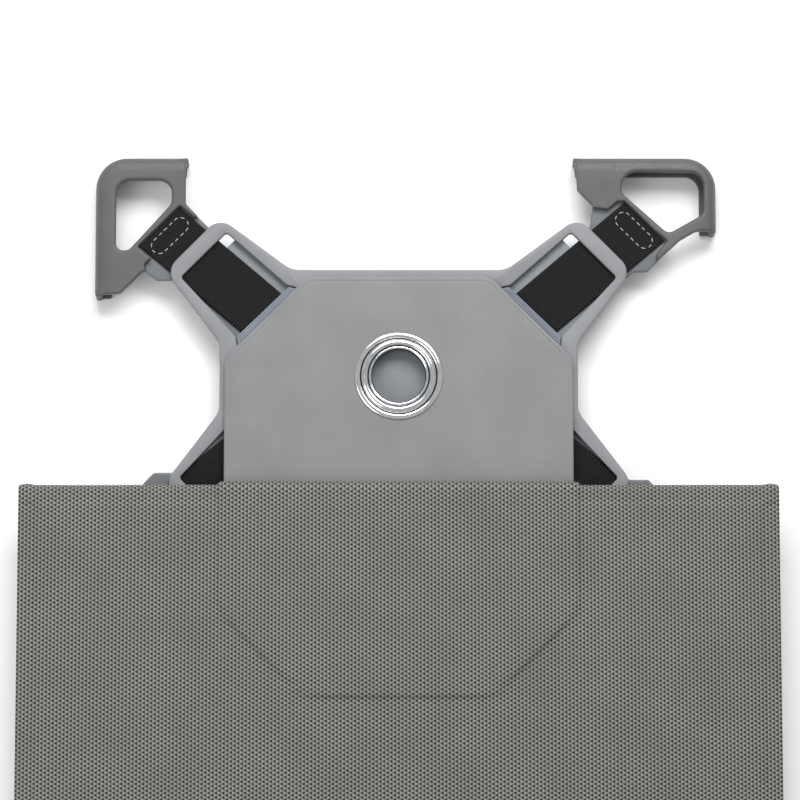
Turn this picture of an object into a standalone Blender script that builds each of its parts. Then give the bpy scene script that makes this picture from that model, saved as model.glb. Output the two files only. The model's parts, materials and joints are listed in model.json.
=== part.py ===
"""Tablet keyboard case, folded open on its back: front cover with keyboard, spine,
rear leg panel, and a face-down tablet holder that turns on an eyelet.

X runs along the fold lines, Y from the keyboard's front edge towards the holder,
Z up. Dimension constants are millimetres; MM turns them into metres.
"""

import math

import bmesh
import bpy
from mathutils import Matrix, Vector

MM = 0.001

# Cover panels
COVER_HALF = 148.5
COVER_DEPTH = 206.0
LEG_RUN = 149.6
SPINE_LENGTH = 28.3
SPINE_ANGLE = math.radians(47.3)
CORNER_RADIUS = 10.0
SKIN = 0.7
BOARD_INSET = 3.5
SEAM = 0.1
HINGE_GAP = 2.0
FOLD_GAP = 1.0
PANEL_HALF_THICKNESS = 1.3
FRONT_THICKNESS = 2.8

# Heights of the folded stack, lowest layer first
BAY_LOW = 1.6
BAY_HIGH = 8.9
BASE_LOW = 9.0
BASE_HIGH = 10.0
CHANNEL_LOW = 10.2
STRAP_HIGH = 11.2
CHANNEL_HIGH = 11.6
GRIP_HIGH = 12.5
FRAME_HIGH = 13.0
PLATE_LOW = 13.3
PLATE_HIGH = 15.5
PAD_LOW = 15.6
PAD_HIGH = 17.9
FAR_LOW = 18.0
CREASE_Z = 20.7
LEG_AXIS_Z = 22.2
OCTAGON_RISE = 0.6

# Plan positions
EYELET_RUN = 46.6
HOLDER_TOP = 89.3
FRONT_END_RUN = LEG_RUN + SPINE_LENGTH * math.cos(SPINE_ANGLE) + COVER_DEPTH
CREASE_Y = (FRONT_END_RUN - EYELET_RUN - HOLDER_TOP) / 2
EYELET_Y = CREASE_Y + EYELET_RUN
LEG_AXIS_Y = CREASE_Y - LEG_RUN
FRONT_AXIS_Y = LEG_AXIS_Y - SPINE_LENGTH * math.cos(SPINE_ANGLE)
FRONT_AXIS_Z = LEG_AXIS_Z - SPINE_LENGTH * math.sin(SPINE_ANGLE)
FRONT_END_Y = FRONT_AXIS_Y - COVER_DEPTH
FAR_END_Y = CREASE_Y - (COVER_DEPTH - LEG_RUN)

# Swivel plate and the octagon it nests on
PLATE_HALF = 68.7
PLATE_TOP = 40.0
PLATE_CHAMFER = 32.6
PLATE_TAIL = 96.6
OCTAGON_HALF = 70.8
OCTAGON_REACH = 127.8
OCTAGON_CHAMFER = 34.0

# Eyelet
EYELET_HOLE = 12.1
EYELET_BARREL = 11.8
EYELET_FLANGE = 17.4
EYELET_BORE = 10.55
COUNTERBORE = 16.3
ROUND_SEGMENTS = 40

# Elastic straps, running outwards from the frame's windows
STRAP_ANGLE = math.radians(40.5)
STRAP_WIDTH = 22.2
STRAP_ANCHOR = (54.0, 25.7)
STRAP_INNER_REACH = 44.0
ARM_END_REACH = 96.0
BACKING_REACH = 85.3
# Bars that hold the inner ends of the straps
ANCHOR_LOW = 11.3
ANCHOR_HIGH = 12.8
TONGUE_REACH = 89.5
CHANNEL_PLAY = 0.4

# Tablet bay, set off from the eyelet
TABLET_CENTRE = (2.8, 1.0)
TABLET_HALF = (120.0, 84.9)
TABLET_CORNER = 9.0
BAY_PLAY = 0.3
LIP = 3.0

# Keyboard
KEYBOARD_HALF = 126.0
KEYBOARD_DEPTH = 92.0
KEYBOARD_MARGIN = 7.0
KEYBOARD_LOW = 2.9
TRAY_FLOOR = 0.8
TRAY_WALL = 1.6
TRAY_HIGH = 7.3
BEZEL_LOW = 7.4
BEZEL_HIGH = 8.2
KEY_TOP = 9.5
CARRIER_LOW = 6.4
CARRIER_HIGH = 7.1
KEY_PITCH = 16.6
ROW_PITCH = 13.2
KEY_GAP = 2.2
KEY_TAPER = 0.5
KEY_PLAY = 0.5
CARRIER_REACH = 0.9
FN_DEPTH = 6.4

# name, colour, roughness, metallic
MATERIALS = {
    "dotted_leather": ((0.27, 0.27, 0.25), 0.62, 0.0),
    "outer_leather": ((0.10, 0.10, 0.10), 0.60, 0.0),
    "board": ((0.36, 0.33, 0.28), 0.90, 0.0),
    "smooth_leather": ((0.28, 0.285, 0.29), 0.50, 0.0),
    "grip_rubber": ((0.15, 0.152, 0.142), 0.55, 0.0),
    "frame_plastic": ((0.30, 0.305, 0.31), 0.50, 0.0),
    "backing_plastic": ((0.42, 0.45, 0.48), 0.55, 0.0),
    "chrome": ((0.80, 0.81, 0.83), 0.12, 1.0),
    "strap_elastic": ((0.015, 0.015, 0.017), 0.85, 0.0),
    "key_plastic": ((0.03, 0.03, 0.033), 0.45, 0.0),
    "case_plastic": ((0.06, 0.06, 0.065), 0.45, 0.0),
    "membrane_rubber": ((0.32, 0.33, 0.34), 0.70, 0.0),
    "circuit_board": ((0.02, 0.13, 0.05), 0.45, 0.0),
    "battery_wrap": ((0.45, 0.46, 0.48), 0.35, 0.0),
    "steel": ((0.60, 0.60, 0.61), 0.25, 1.0),
    "lens": ((0.75, 0.80, 0.85), 0.20, 0.0),
}


def clear_scene():
    """Removes whatever the scene holds."""
    for item in list(bpy.data.objects):
        bpy.data.objects.remove(item, do_unlink=True)


def make_materials():
    """One Principled material for each surface of the case."""
    made = {}
    for name, (colour, roughness, metallic) in MATERIALS.items():
        material = bpy.data.materials.new(name)
        material.use_nodes = True
        shader = material.node_tree.nodes["Principled BSDF"]
        shader.inputs["Base Color"].default_value = (*colour, 1.0)
        shader.inputs["Roughness"].default_value = roughness
        shader.inputs["Metallic"].default_value = metallic
        material.diffuse_color = (*colour, 1.0)
        made[name] = material
    return made


def rounded(corners, steps=4):
    """A polygon from (x, y, radius) corners, each turned into an arc."""
    points = []
    for i, (x, y, radius) in enumerate(corners):
        here = Vector((x, y))
        if radius <= 0:
            points.append(here)
            continue
        back = (Vector(corners[i - 1][:2]) - here).normalized()
        ahead = (Vector(corners[(i + 1) % len(corners)][:2]) - here).normalized()
        half = back.angle(ahead) / 2
        centre = here + (back + ahead).normalized() * radius / math.sin(half)
        start = here + back * radius / math.tan(half) - centre
        end = here + ahead * radius / math.tan(half) - centre
        first = math.atan2(start.y, start.x)
        sweep = math.atan2(start.cross(end), start.dot(end))
        for step in range(steps + 1):
            angle = first + sweep * step / steps
            points.append(centre + radius * Vector((math.cos(angle), math.sin(angle))))
    return points


def box_outline(low, high, radius=0.0):
    """A rectangle between two corners, all four corners with one radius."""
    return [
        (low[0], low[1], radius),
        (high[0], low[1], radius),
        (high[0], high[1], radius),
        (low[0], high[1], radius),
    ]


def circle(centre, radius, segments=ROUND_SEGMENTS):
    """A regular polygon standing for a circle."""
    turn = 2 * math.pi / segments
    return [
        Vector((centre[0] + radius * math.cos(turn * i), centre[1] + radius * math.sin(turn * i)))
        for i in range(segments)
    ]


def new_object(name, shape):
    """An object holding a finished bmesh."""
    bmesh.ops.recalc_face_normals(shape, faces=shape.faces)
    mesh = bpy.data.meshes.new(name)
    shape.to_mesh(mesh)
    shape.free()
    made = bpy.data.objects.new(name, mesh)
    bpy.context.scene.collection.objects.link(made)
    return made


def prism(name, outline, low, high):
    """A plan outline drawn up from one height to another."""
    shape = bmesh.new()
    rings = [
        [shape.verts.new((p.x * MM, p.y * MM, z * MM)) for p in outline] for z in (low, high)
    ]
    shape.faces.new(rings[0])
    shape.faces.new(rings[1])
    count = len(outline)
    for i in range(count):
        j = (i + 1) % count
        shape.faces.new((rings[0][i], rings[0][j], rings[1][j], rings[1][i]))
    return new_object(name, shape)


def tapered_boxes(name, boxes, low, high, taper):
    """Several boxes in one object, each narrower at the top by taper on every side."""
    shape = bmesh.new()
    for x0, x1, y0, y1 in boxes:
        rings = []
        for z, inset in ((low, 0.0), (high, taper)):
            corners = (
                (x0 + inset, y0 + inset),
                (x1 - inset, y0 + inset),
                (x1 - inset, y1 - inset),
                (x0 + inset, y1 - inset),
            )
            rings.append([shape.verts.new((x * MM, y * MM, z * MM)) for x, y in corners])
        shape.faces.new(rings[0])
        shape.faces.new(rings[1])
        for i in range(4):
            j = (i + 1) % 4
            shape.faces.new((rings[0][i], rings[0][j], rings[1][j], rings[1][i]))
    return new_object(name, shape)


def lathe(name, profile, centre):
    """A closed (radius, height) profile turned about a vertical axis."""
    shape = bmesh.new()
    rings = []
    for i in range(ROUND_SEGMENTS):
        angle = 2 * math.pi * i / ROUND_SEGMENTS
        rings.append(
            [
                shape.verts.new(
                    (
                        (centre[0] + radius * math.cos(angle)) * MM,
                        (centre[1] + radius * math.sin(angle)) * MM,
                        height * MM,
                    )
                )
                for radius, height in profile
            ]
        )
    count = len(profile)
    for i in range(ROUND_SEGMENTS):
        ring, following = rings[i], rings[(i + 1) % ROUND_SEGMENTS]
        for k in range(count):
            m = (k + 1) % count
            shape.faces.new((ring[k], ring[m], following[m], following[k]))
    return new_object(name, shape)


def combine(base, tool, operation):
    """Joins or cuts base with tool; the tool is used up."""
    modifier = base.modifiers.new("combine", "BOOLEAN")
    modifier.operation = operation
    modifier.solver = "EXACT"
    modifier.object = tool
    bpy.context.view_layer.update()
    evaluated = base.evaluated_get(bpy.context.evaluated_depsgraph_get())
    result = bpy.data.meshes.new_from_object(evaluated)
    base.modifiers.clear()
    base.data = result
    bpy.data.objects.remove(tool, do_unlink=True)
    return base


def cut(base, outline, low, high):
    """Takes a prism out of base."""
    return combine(base, prism("cutter", outline, low, high), "DIFFERENCE")


def join(base, outline, low, high):
    """Adds a prism to base."""
    return combine(base, prism("addition", outline, low, high), "UNION")


def finish(item, name, material, origin, round_piece=False):
    """Names a piece, puts its origin on its joint axis and gives it its material."""
    shape = bmesh.new()
    shape.from_mesh(item.data)
    bmesh.ops.remove_doubles(shape, verts=shape.verts, dist=1e-6)
    bmesh.ops.dissolve_limit(
        shape, angle_limit=math.radians(0.1), verts=shape.verts, edges=shape.edges
    )
    bmesh.ops.triangulate(shape, faces=shape.faces)
    bmesh.ops.recalc_face_normals(shape, faces=shape.faces)
    shape.to_mesh(item.data)
    shape.free()
    start = Vector(origin) * MM
    item.data.transform(Matrix.Translation(-start))
    item.location = start
    item.name = name
    item.data.name = name
    item.data.materials.clear()
    item.data.materials.append(material)
    if round_piece:
        item.data.shade_smooth()
        item.data.set_sharp_from_angle(angle=math.radians(35))
    return item


def panel(name, low, high, heights, radii):
    """A flat layer of a cover panel; radii are for the low-Y and the high-Y corners."""
    corners = [
        (low[0], low[1], radii[0]),
        (high[0], low[1], radii[0]),
        (high[0], high[1], radii[1]),
        (low[0], high[1], radii[1]),
    ]
    return prism(name, rounded(corners), *heights)


def layer_heights(low, high):
    """Skin, board and lining of a panel whose outer face is the low one."""
    return (
        (low, low + SKIN),
        (low + SKIN + SEAM, high - SKIN - SEAM),
        (high - SKIN, high),
    )


def build_front_cover(mats):
    """Skin, board and lining of the panel that carries the keyboard."""
    low = (-COVER_HALF, FRONT_END_Y)
    high = (COVER_HALF, FRONT_AXIS_Y - HINGE_GAP)
    inner_low = (low[0] + BOARD_INSET, low[1] + BOARD_INSET)
    inner_high = (high[0] - BOARD_INSET, high[1] - BOARD_INSET)
    skin, board, lining = layer_heights(0.0, FRONT_THICKNESS)
    radii = (CORNER_RADIUS, 0.0)
    origin = (0.0, FRONT_AXIS_Y, FRONT_AXIS_Z)
    layers = (
        ("front_skin", low, high, skin, "outer_leather"),
        ("front_board", inner_low, inner_high, board, "board"),
        ("front_lining", low, high, lining, "dotted_leather"),
    )
    for name, start, end, heights, material in layers:
        finish(panel(name, start, end, heights, radii), name, mats[material], origin)


def build_spine(mats):
    """The strip between the front cover and the leg, leaning back from its lower axis."""
    low = (-COVER_HALF, FRONT_AXIS_Y + HINGE_GAP)
    high = (COVER_HALF, FRONT_AXIS_Y + SPINE_LENGTH - HINGE_GAP)
    inner_low = (low[0] + BOARD_INSET, low[1])
    inner_high = (high[0] - BOARD_INSET, high[1])
    middle = FRONT_AXIS_Z
    skin, board, lining = layer_heights(
        middle - PANEL_HALF_THICKNESS, middle + PANEL_HALF_THICKNESS
    )
    axis = (0.0, FRONT_AXIS_Y, FRONT_AXIS_Z)
    centre = Vector(axis) * MM
    lean = (
        Matrix.Translation(centre)
        @ Matrix.Rotation(SPINE_ANGLE, 4, "X")
        @ Matrix.Translation(-centre)
    )
    layers = (
        ("spine_skin", low, high, skin, "outer_leather"),
        ("spine_board", inner_low, inner_high, board, "board"),
        ("spine_lining", low, high, lining, "dotted_leather"),
    )
    for name, start, end, heights, material in layers:
        item = panel(name, start, end, heights, (0.0, 0.0))
        item.data.transform(lean)
        finish(item, name, mats[material], axis)


def octagon_outline(inset, top):
    """The octagon on the leg's inner face, cut off square at the fold."""
    half = OCTAGON_HALF - inset
    end = EYELET_Y - OCTAGON_REACH + inset
    chamfer = OCTAGON_CHAMFER
    return rounded(
        [
            (-half + chamfer, end, 9.0),
            (half - chamfer, end, 9.0),
            (half, end + chamfer, 9.0),
            (half, top, 0.0),
            (-half, top, 0.0),
            (-half, end + chamfer, 9.0),
        ]
    )


def build_leg(mats):
    """The rear panel: inner face up, with the octagonal doubler under its lining."""
    low = (-COVER_HALF, LEG_AXIS_Y + HINGE_GAP)
    high = (COVER_HALF, CREASE_Y - FOLD_GAP)
    inner_low = (low[0] + BOARD_INSET, low[1])
    inner_high = (high[0] - BOARD_INSET, high[1] - BOARD_INSET)
    skin, board, lining = layer_heights(
        LEG_AXIS_Z - PANEL_HALF_THICKNESS, LEG_AXIS_Z + PANEL_HALF_THICKNESS
    )
    origin = (0.0, LEG_AXIS_Y, LEG_AXIS_Z)
    square = (0.0, 0.0)
    leg_skin = panel("leg_skin", low, high, skin, square)
    finish(leg_skin, "leg_skin", mats["outer_leather"], origin)
    leg_board = panel("leg_board", inner_low, inner_high, board, square)
    finish(leg_board, "leg_board", mats["board"], origin)
    face = lining[1]
    cover = panel("leg_lining", low, high, lining, square)
    join(cover, octagon_outline(0.0, high[1]), lining[0], face + OCTAGON_RISE)
    pocket_top = inner_high[1]
    pocket_high = face + OCTAGON_RISE - SKIN
    cut(cover, octagon_outline(1.0, pocket_top), lining[0] - 1.0, pocket_high)
    finish(cover, "leg_lining", mats["dotted_leather"], origin)
    doubler = prism(
        "leg_doubler", octagon_outline(1.2, pocket_top - 0.2), lining[0], pocket_high - SEAM
    )
    finish(doubler, "leg_doubler", mats["board"], origin)


def build_far_panel(mats):
    """The short panel folded back under the leg, outer face up."""
    low = (-COVER_HALF, FAR_END_Y)
    high = (COVER_HALF, CREASE_Y - FOLD_GAP)
    inner_low = (low[0] + BOARD_INSET, low[1] + BOARD_INSET)
    inner_high = (high[0] - BOARD_INSET, high[1] - BOARD_INSET)
    top = FAR_LOW + 2 * SKIN + 2 * SEAM + 0.9
    lining, board, skin = layer_heights(FAR_LOW, top)
    radii = (CORNER_RADIUS, 0.0)
    origin = (0.0, CREASE_Y, CREASE_Z)
    layers = (
        ("far_lining", low, high, lining, "dotted_leather"),
        ("far_board", inner_low, inner_high, board, "board"),
        ("far_skin", low, high, skin, "outer_leather"),
    )
    for name, start, end, heights, material in layers:
        finish(panel(name, start, end, heights, radii), name, mats[material], origin)


def build_swivel(mats):
    """Swivel plate, its glue pad under the far panel, and the riveted eyelet."""
    origin = (0.0, CREASE_Y, CREASE_Z)
    centre = (0.0, EYELET_Y)
    tail = EYELET_Y - PLATE_TAIL
    top = EYELET_Y + PLATE_TOP
    chamfer = PLATE_CHAMFER
    outline = rounded(
        [
            (-PLATE_HALF, tail, 6.0),
            (PLATE_HALF, tail, 6.0),
            (PLATE_HALF, top - chamfer, 9.0),
            (PLATE_HALF - chamfer, top, 9.0),
            (-PLATE_HALF + chamfer, top, 9.0),
            (-PLATE_HALF, top - chamfer, 9.0),
        ]
    )
    plate = prism("swivel_plate", outline, PLATE_LOW, PLATE_HIGH)
    cut(plate, circle(centre, EYELET_HOLE), PLATE_LOW - 1.0, PLATE_HIGH + 1.0)
    finish(plate, "swivel_plate", mats["smooth_leather"], origin)
    pad_outline = rounded(
        box_outline((-PLATE_HALF + 6.0, tail + 3.0), (PLATE_HALF - 6.0, CREASE_Y - 7.0), 4.0)
    )
    pad = prism("hinge_pad", pad_outline, PAD_LOW, PAD_HIGH)
    finish(pad, "hinge_pad", mats["membrane_rubber"], origin)
    flange = PLATE_HIGH + SEAM
    profile = [
        (EYELET_BORE + 0.35, 10.5),
        (EYELET_BARREL, 10.5),
        (EYELET_BARREL, flange),
        (EYELET_FLANGE, flange),
        (EYELET_FLANGE - 0.1, flange + 0.4),
        (EYELET_FLANGE - 0.7, flange + 0.7),
        (15.2, flange + 0.7),
        (14.6, flange + 0.3),
        (14.1, flange + 0.5),
        (13.4, flange + 1.1),
        (12.4, flange + 1.3),
        (11.4, flange + 1.1),
        (EYELET_BORE, flange + 0.3),
        (EYELET_BORE, flange - 0.5),
        (EYELET_BORE + 0.35, flange - 1.2),
    ]
    eyelet = lathe("eyelet", profile, centre)
    finish(eyelet, "eyelet", mats["chrome"], (*centre, FRAME_HIGH), True)
    inner = EYELET_BARREL + 0.1
    outer = COUNTERBORE - 0.3
    ring = [(inner, 10.4), (outer, 10.4), (outer, 11.4), (inner, 11.4)]
    washer = lathe("eyelet_washer", ring, centre)
    finish(washer, "eyelet_washer", mats["steel"], (*centre, FRAME_HIGH), True)


def quadrant(points, sx, sy):
    """Plan points given for the +X +Y corner, placed about the eyelet in another one."""
    placed = [(p[0] * sx, EYELET_Y + p[1] * sy, *p[2:]) for p in points]
    return placed if sx * sy > 0 else placed[::-1]


def frame_outline(inset):
    """The four-armed outline about the eyelet."""
    arm = [
        (70.7 - inset, 13.8 - inset * 0.4, 8.0),
        (92.5 - inset, 42.7 - inset * 0.3, 7.0),
        (71.2 - inset * 0.3, 64.4 - inset, 7.0),
        (42.5 - inset * 0.4, 43.1 - inset, 10.0),
    ]
    corners = []
    for sx, sy in ((1, 1), (-1, 1), (-1, -1), (1, -1)):
        corners += quadrant(arm, sx, sy)
    return rounded(corners)


def strap_outline(inner, outer, width):
    """A strap in the +X +Y corner, its ends square to the diagonal."""
    run = Vector((math.cos(STRAP_ANGLE), math.sin(STRAP_ANGLE)))
    side = Vector((-run.y, run.x)) * width / 2
    diagonal = Vector((1.0, 1.0)).normalized()
    start = Vector(STRAP_ANCHOR)
    points = []
    for reach, offset in ((inner, -side), (outer, -side), (outer, side), (inner, side)):
        base = start + offset
        along = (reach - base.dot(diagonal)) / run.dot(diagonal)
        points.append((*(base + run * along), 0.6))
    return points


def diagonal_band(inner, outer):
    """The +X +Y corner's plan between two reaches along its diagonal, without width limit."""
    along = Vector((1.0, 1.0)).normalized()
    side = Vector((-1.0, 1.0)).normalized() * 60.0
    near, far = along * inner, along * outer
    points = (near - side, far - side, far + side, near + side)
    return [(*point, 0.0) for point in points]


def build_frame(mats):
    """The four-armed swivel frame: backing plate and pocketed top."""
    centre = (0.0, EYELET_Y)
    origin = (*centre, FRAME_HIGH)
    base = prism("frame_base", frame_outline(0.8), BASE_LOW, BASE_HIGH)
    for signs in ((1, 1), (-1, 1), (-1, -1), (1, -1)):
        beyond = rounded(quadrant(diagonal_band(BACKING_REACH, ARM_END_REACH + 4.0), *signs))
        cut(base, beyond, BASE_LOW - 1.0, BASE_HIGH + 1.0)
    finish(base, "frame_base", mats["backing_plastic"], origin)
    top = prism("frame_top", frame_outline(0.0), CHANNEL_LOW, FRAME_HIGH)
    cut(top, circle(centre, EYELET_HOLE), CHANNEL_LOW - 1.0, FRAME_HIGH + 1.0)
    cut(top, circle(centre, COUNTERBORE), CHANNEL_LOW - 1.0, CHANNEL_HIGH)
    window = [
        (64.6, 16.6, 0.0),
        (86.3, 40.1, 2.0),
        (68.3, 58.3, 2.0),
        (44.2, 37.0, 1.0),
        (38.0, 35.3, 1.0),
        (63.3, 10.0, 1.0),
    ]
    channel = strap_outline(
        STRAP_INNER_REACH - CHANNEL_PLAY, ARM_END_REACH + 8.0, STRAP_WIDTH + 2 * CHANNEL_PLAY
    )
    for sx, sy in ((1, 1), (-1, 1), (-1, -1), (1, -1)):
        cut(top, rounded(quadrant(window, sx, sy)), CHANNEL_LOW - 1.0, FRAME_HIGH + 1.0)
        cut(top, rounded(quadrant(channel, sx, sy)), CHANNEL_LOW - 1.0, CHANNEL_HIGH)
    finish(top, "frame_top", mats["frame_plastic"], origin)


def build_anchor_bar(mats, name, signs):
    """The bar across a window's inner end that holds the strap's sewn end down."""
    bar = [(63.9, 16.4, 1.0), (43.6, 36.2, 1.0), (38.8, 35.2, 0.6), (63.2, 10.8, 0.6)]
    item = prism(name, rounded(quadrant(bar, *signs)), ANCHOR_LOW, ANCHOR_HIGH)
    finish(item, name, mats["backing_plastic"], (0.0, EYELET_Y, FRAME_HIGH))


def tall_grip():
    """Outline, window and strap recess of the grip that reaches down the short edge."""
    outline = [
        (-120.6, 89.3, 12.0),
        (-120.6, 33.4, 1.5),
        (-110.4, 33.6, 4.0),
        (-100.9, 43.3, 1.0),
        (-95.9, 39.1, 1.0),
        (-89.5, 39.1, 0.0),
        (-71.7, 57.0, 0.0),
        (-84.6, 69.8, 1.5),
        (-84.6, 89.3, 1.5),
    ]
    window = [
        (-112.2, 79.6, 4.0),
        (-112.2, 50.6, 2.5),
        (-106.9, 51.4, 2.0),
        (-90.2, 70.0, 2.0),
        (-90.2, 79.6, 3.0),
    ]
    recess = [
        (-101.0, 45.4, 0.0),
        (-99.9, 41.8, 0.0),
        (-95.0, 28.0, 0.0),
        (-58.0, 45.0, 0.0),
        (-70.0, 70.0, 0.0),
        (-79.9, 65.0, 0.0),
        (-81.6, 63.4, 0.0),
    ]
    return outline, window, recess


def wide_grip():
    """Outline, window and strap recess of the grips that reach along the long edge."""
    outline = [
        (126.2, 89.3, 12.0),
        (70.2, 89.3, 1.5),
        (70.8, 75.6, 2.0),
        (76.9, 69.3, 1.0),
        (74.6, 49.8, 0.0),
        (81.9, 42.5, 0.0),
        (98.4, 42.5, 1.0),
        (102.9, 47.2, 1.0),
        (111.5, 55.2, 5.0),
        (118.0, 59.0, 4.0),
        (126.2, 59.0, 1.5),
    ]
    window = [
        (121.2, 82.7, 4.0),
        (90.5, 83.2, 5.0),
        (88.2, 74.6, 2.0),
        (106.9, 57.8, 2.5),
        (121.2, 65.9, 3.0),
    ]
    recess = [
        (72.0, 69.1, 0.0),
        (83.0, 67.6, 0.0),
        (87.2, 71.3, 0.0),
        (106.6, 55.0, 0.0),
        (102.1, 48.9, 0.0),
        (103.5, 44.0, 0.0),
        (100.0, 30.0, 0.0),
        (60.0, 40.0, 0.0),
        (62.0, 64.0, 0.0),
    ]
    return outline, window, recess


def broad_tongue_grip():
    """The wide grip with its strap tongue set nearer the holder's middle line."""
    outline, window, recess = wide_grip()
    outline[4:9] = [
        (75.4, 55.8, 0.0),
        (92.1, 39.6, 0.0),
        (102.0, 39.6, 1.0),
        (106.3, 44.3, 1.0),
        (112.5, 53.5, 5.0),
    ]
    recess[4:7] = [(105.0, 50.0, 0.0), (112.0, 38.0, 0.0), (100.0, 28.0, 0.0)]
    return outline, window, recess


def straight(points):
    """Plan points as they are."""
    return points


def turned(points):
    """Plan points turned half round the tablet's centre."""
    return [(2 * TABLET_CENTRE[0] - p[0], 2 * TABLET_CENTRE[1] - p[1], p[2]) for p in points]


def flipped(points):
    """Plan points mirrored to the other long edge of the tablet."""
    return [(p[0], 2 * TABLET_CENTRE[1] - p[1], p[2]) for p in points[::-1]]


def on_frame(points):
    """Plan points moved from the eyelet's centre to the case."""
    return [(p[0], p[1] + EYELET_Y, *p[2:]) for p in points]


def tablet_outline(grow):
    """The tablet's outline, grown by a margin, about the eyelet."""
    low = [TABLET_CENTRE[i] - TABLET_HALF[i] - grow for i in (0, 1)]
    high = [TABLET_CENTRE[i] + TABLET_HALF[i] + grow for i in (0, 1)]
    return rounded(on_frame(box_outline(low, high, TABLET_CORNER + grow)))


# grip name, strap name, corner signs, strap end reach, which outline, turned half round
GRIPS = (
    ("upper_left", (-1, 1), 110.0, tall_grip, straight),
    ("upper_right", (1, 1), 113.3, wide_grip, straight),
    ("lower_right", (1, -1), 111.9, wide_grip, flipped),
    ("lower_left", (-1, -1), 107.9, broad_tongue_grip, turned),
)


def build_grip(mats, corner, signs, reach, shape, placed):
    """A corner grip with its lip, window and strap seat, and the strap sewn to it."""
    name, strap_name = f"grip_{corner}", f"strap_{corner}"
    outline, window, recess = (placed(points) for points in shape())
    origin = (signs[0] * 95.0, EYELET_Y + signs[1] * 60.0, BASE_HIGH)
    grip = prism(name, rounded(on_frame(outline)), 0.0, GRIP_HIGH)
    tongue = strap_outline(TONGUE_REACH - 2.0, reach + 2.0, STRAP_WIDTH + 3.0)
    join(grip, rounded(quadrant(tongue, *signs)), BASE_LOW, GRIP_HIGH)
    cut(grip, tablet_outline(BAY_PLAY), BAY_LOW, BAY_HIGH)
    cut(grip, tablet_outline(-LIP), -1.0, BAY_LOW + 1.0)
    cut(grip, rounded(on_frame(window)), BAY_HIGH - 1.0, GRIP_HIGH + 1.0)
    inward = rounded(quadrant(diagonal_band(30.0, TONGUE_REACH), *signs))
    cut(grip, inward, BAY_HIGH - 1.0, GRIP_HIGH + 1.0)
    lowered = BASE_HIGH + SEAM
    seat = strap_outline(60.0, reach + 0.4, STRAP_WIDTH + 1.6)
    cut(grip, rounded(quadrant(seat, *signs)), lowered, GRIP_HIGH + 1.0)
    cut(grip, rounded(on_frame(recess)), lowered, GRIP_HIGH + 1.0)
    finish(grip, name, mats["grip_rubber"], origin)
    strap = prism(
        strap_name,
        rounded(quadrant(strap_outline(STRAP_INNER_REACH, reach, STRAP_WIDTH), *signs)),
        CHANNEL_LOW,
        STRAP_HIGH,
    )
    finish(strap, strap_name, mats["strap_elastic"], origin)


def key_spans(widths, left):
    """Left and right edges of neighbouring keys, widths counted in key pitches."""
    spans = []
    start = left
    for width in widths:
        end = start + width * KEY_PITCH
        spans.append((start + KEY_GAP / 2, end - KEY_GAP / 2))
        start = end
    return spans


def row_layout():
    """Every keyboard row and group: name, its keys' boxes in plan."""
    left = -7.25 * KEY_PITCH
    front = FRONT_END_Y + KEYBOARD_MARGIN + 4.5
    rows = [
        ("z_row", [2.25] + [1.0] * 10 + [2.25], 1),
        ("a_row", [1.75] + [1.0] * 11 + [1.75], 2),
        ("q_row", [1.5] + [1.0] * 12 + [1.0], 3),
        ("number_row", [1.0] * 13 + [1.5], 4),
    ]
    bottom = [
        ("modifiers_left", [1.0] * 3 + [1.25], 0.0),
        ("space_bar", [5.25], 4.25),
        ("modifiers_right", [1.0, 1.0], 9.5),
        ("arrow_keys", [1.0] * 3, 11.5),
    ]
    placed = []
    for name, widths, start in bottom:
        spans = key_spans(widths, left + start * KEY_PITCH)
        placed.append((name, spans, front, front + ROW_PITCH - KEY_GAP))
    for name, widths, index in rows:
        low = front + index * ROW_PITCH
        placed.append((name, key_spans(widths, left), low, low + ROW_PITCH - KEY_GAP))
    low = front + 5 * ROW_PITCH
    fn_spans = key_spans([14.5 / 14] * 14, left)
    placed.append(("fn_row", fn_spans, low, low + FN_DEPTH))
    return [
        (name, [(x0, x1, y0, y1) for x0, x1 in spans]) for name, spans, y0, y1 in placed
    ]


def group_box(boxes, margin):
    """The plan rectangle around a group of keys."""
    low = (min(b[0] for b in boxes) - margin, boxes[0][2] - margin)
    high = (max(b[1] for b in boxes) + margin, boxes[0][3] + margin)
    return box_outline(low, high)


def build_keys(mats, rows):
    """Rows of keycaps, each row on one carrier strip under the bezel."""
    for name, boxes in rows:
        carrier = prism(
            name, rounded(group_box(boxes, CARRIER_REACH)), CARRIER_LOW, CARRIER_HIGH
        )
        caps = tapered_boxes("caps", boxes, CARRIER_LOW + 0.2, KEY_TOP, KEY_TAPER)
        combine(carrier, caps, "UNION")
        middle_x = (boxes[0][0] + boxes[-1][1]) / 2
        origin = (middle_x, boxes[0][2], CARRIER_LOW)
        finish(carrier, name, mats["key_plastic"], origin)


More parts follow.
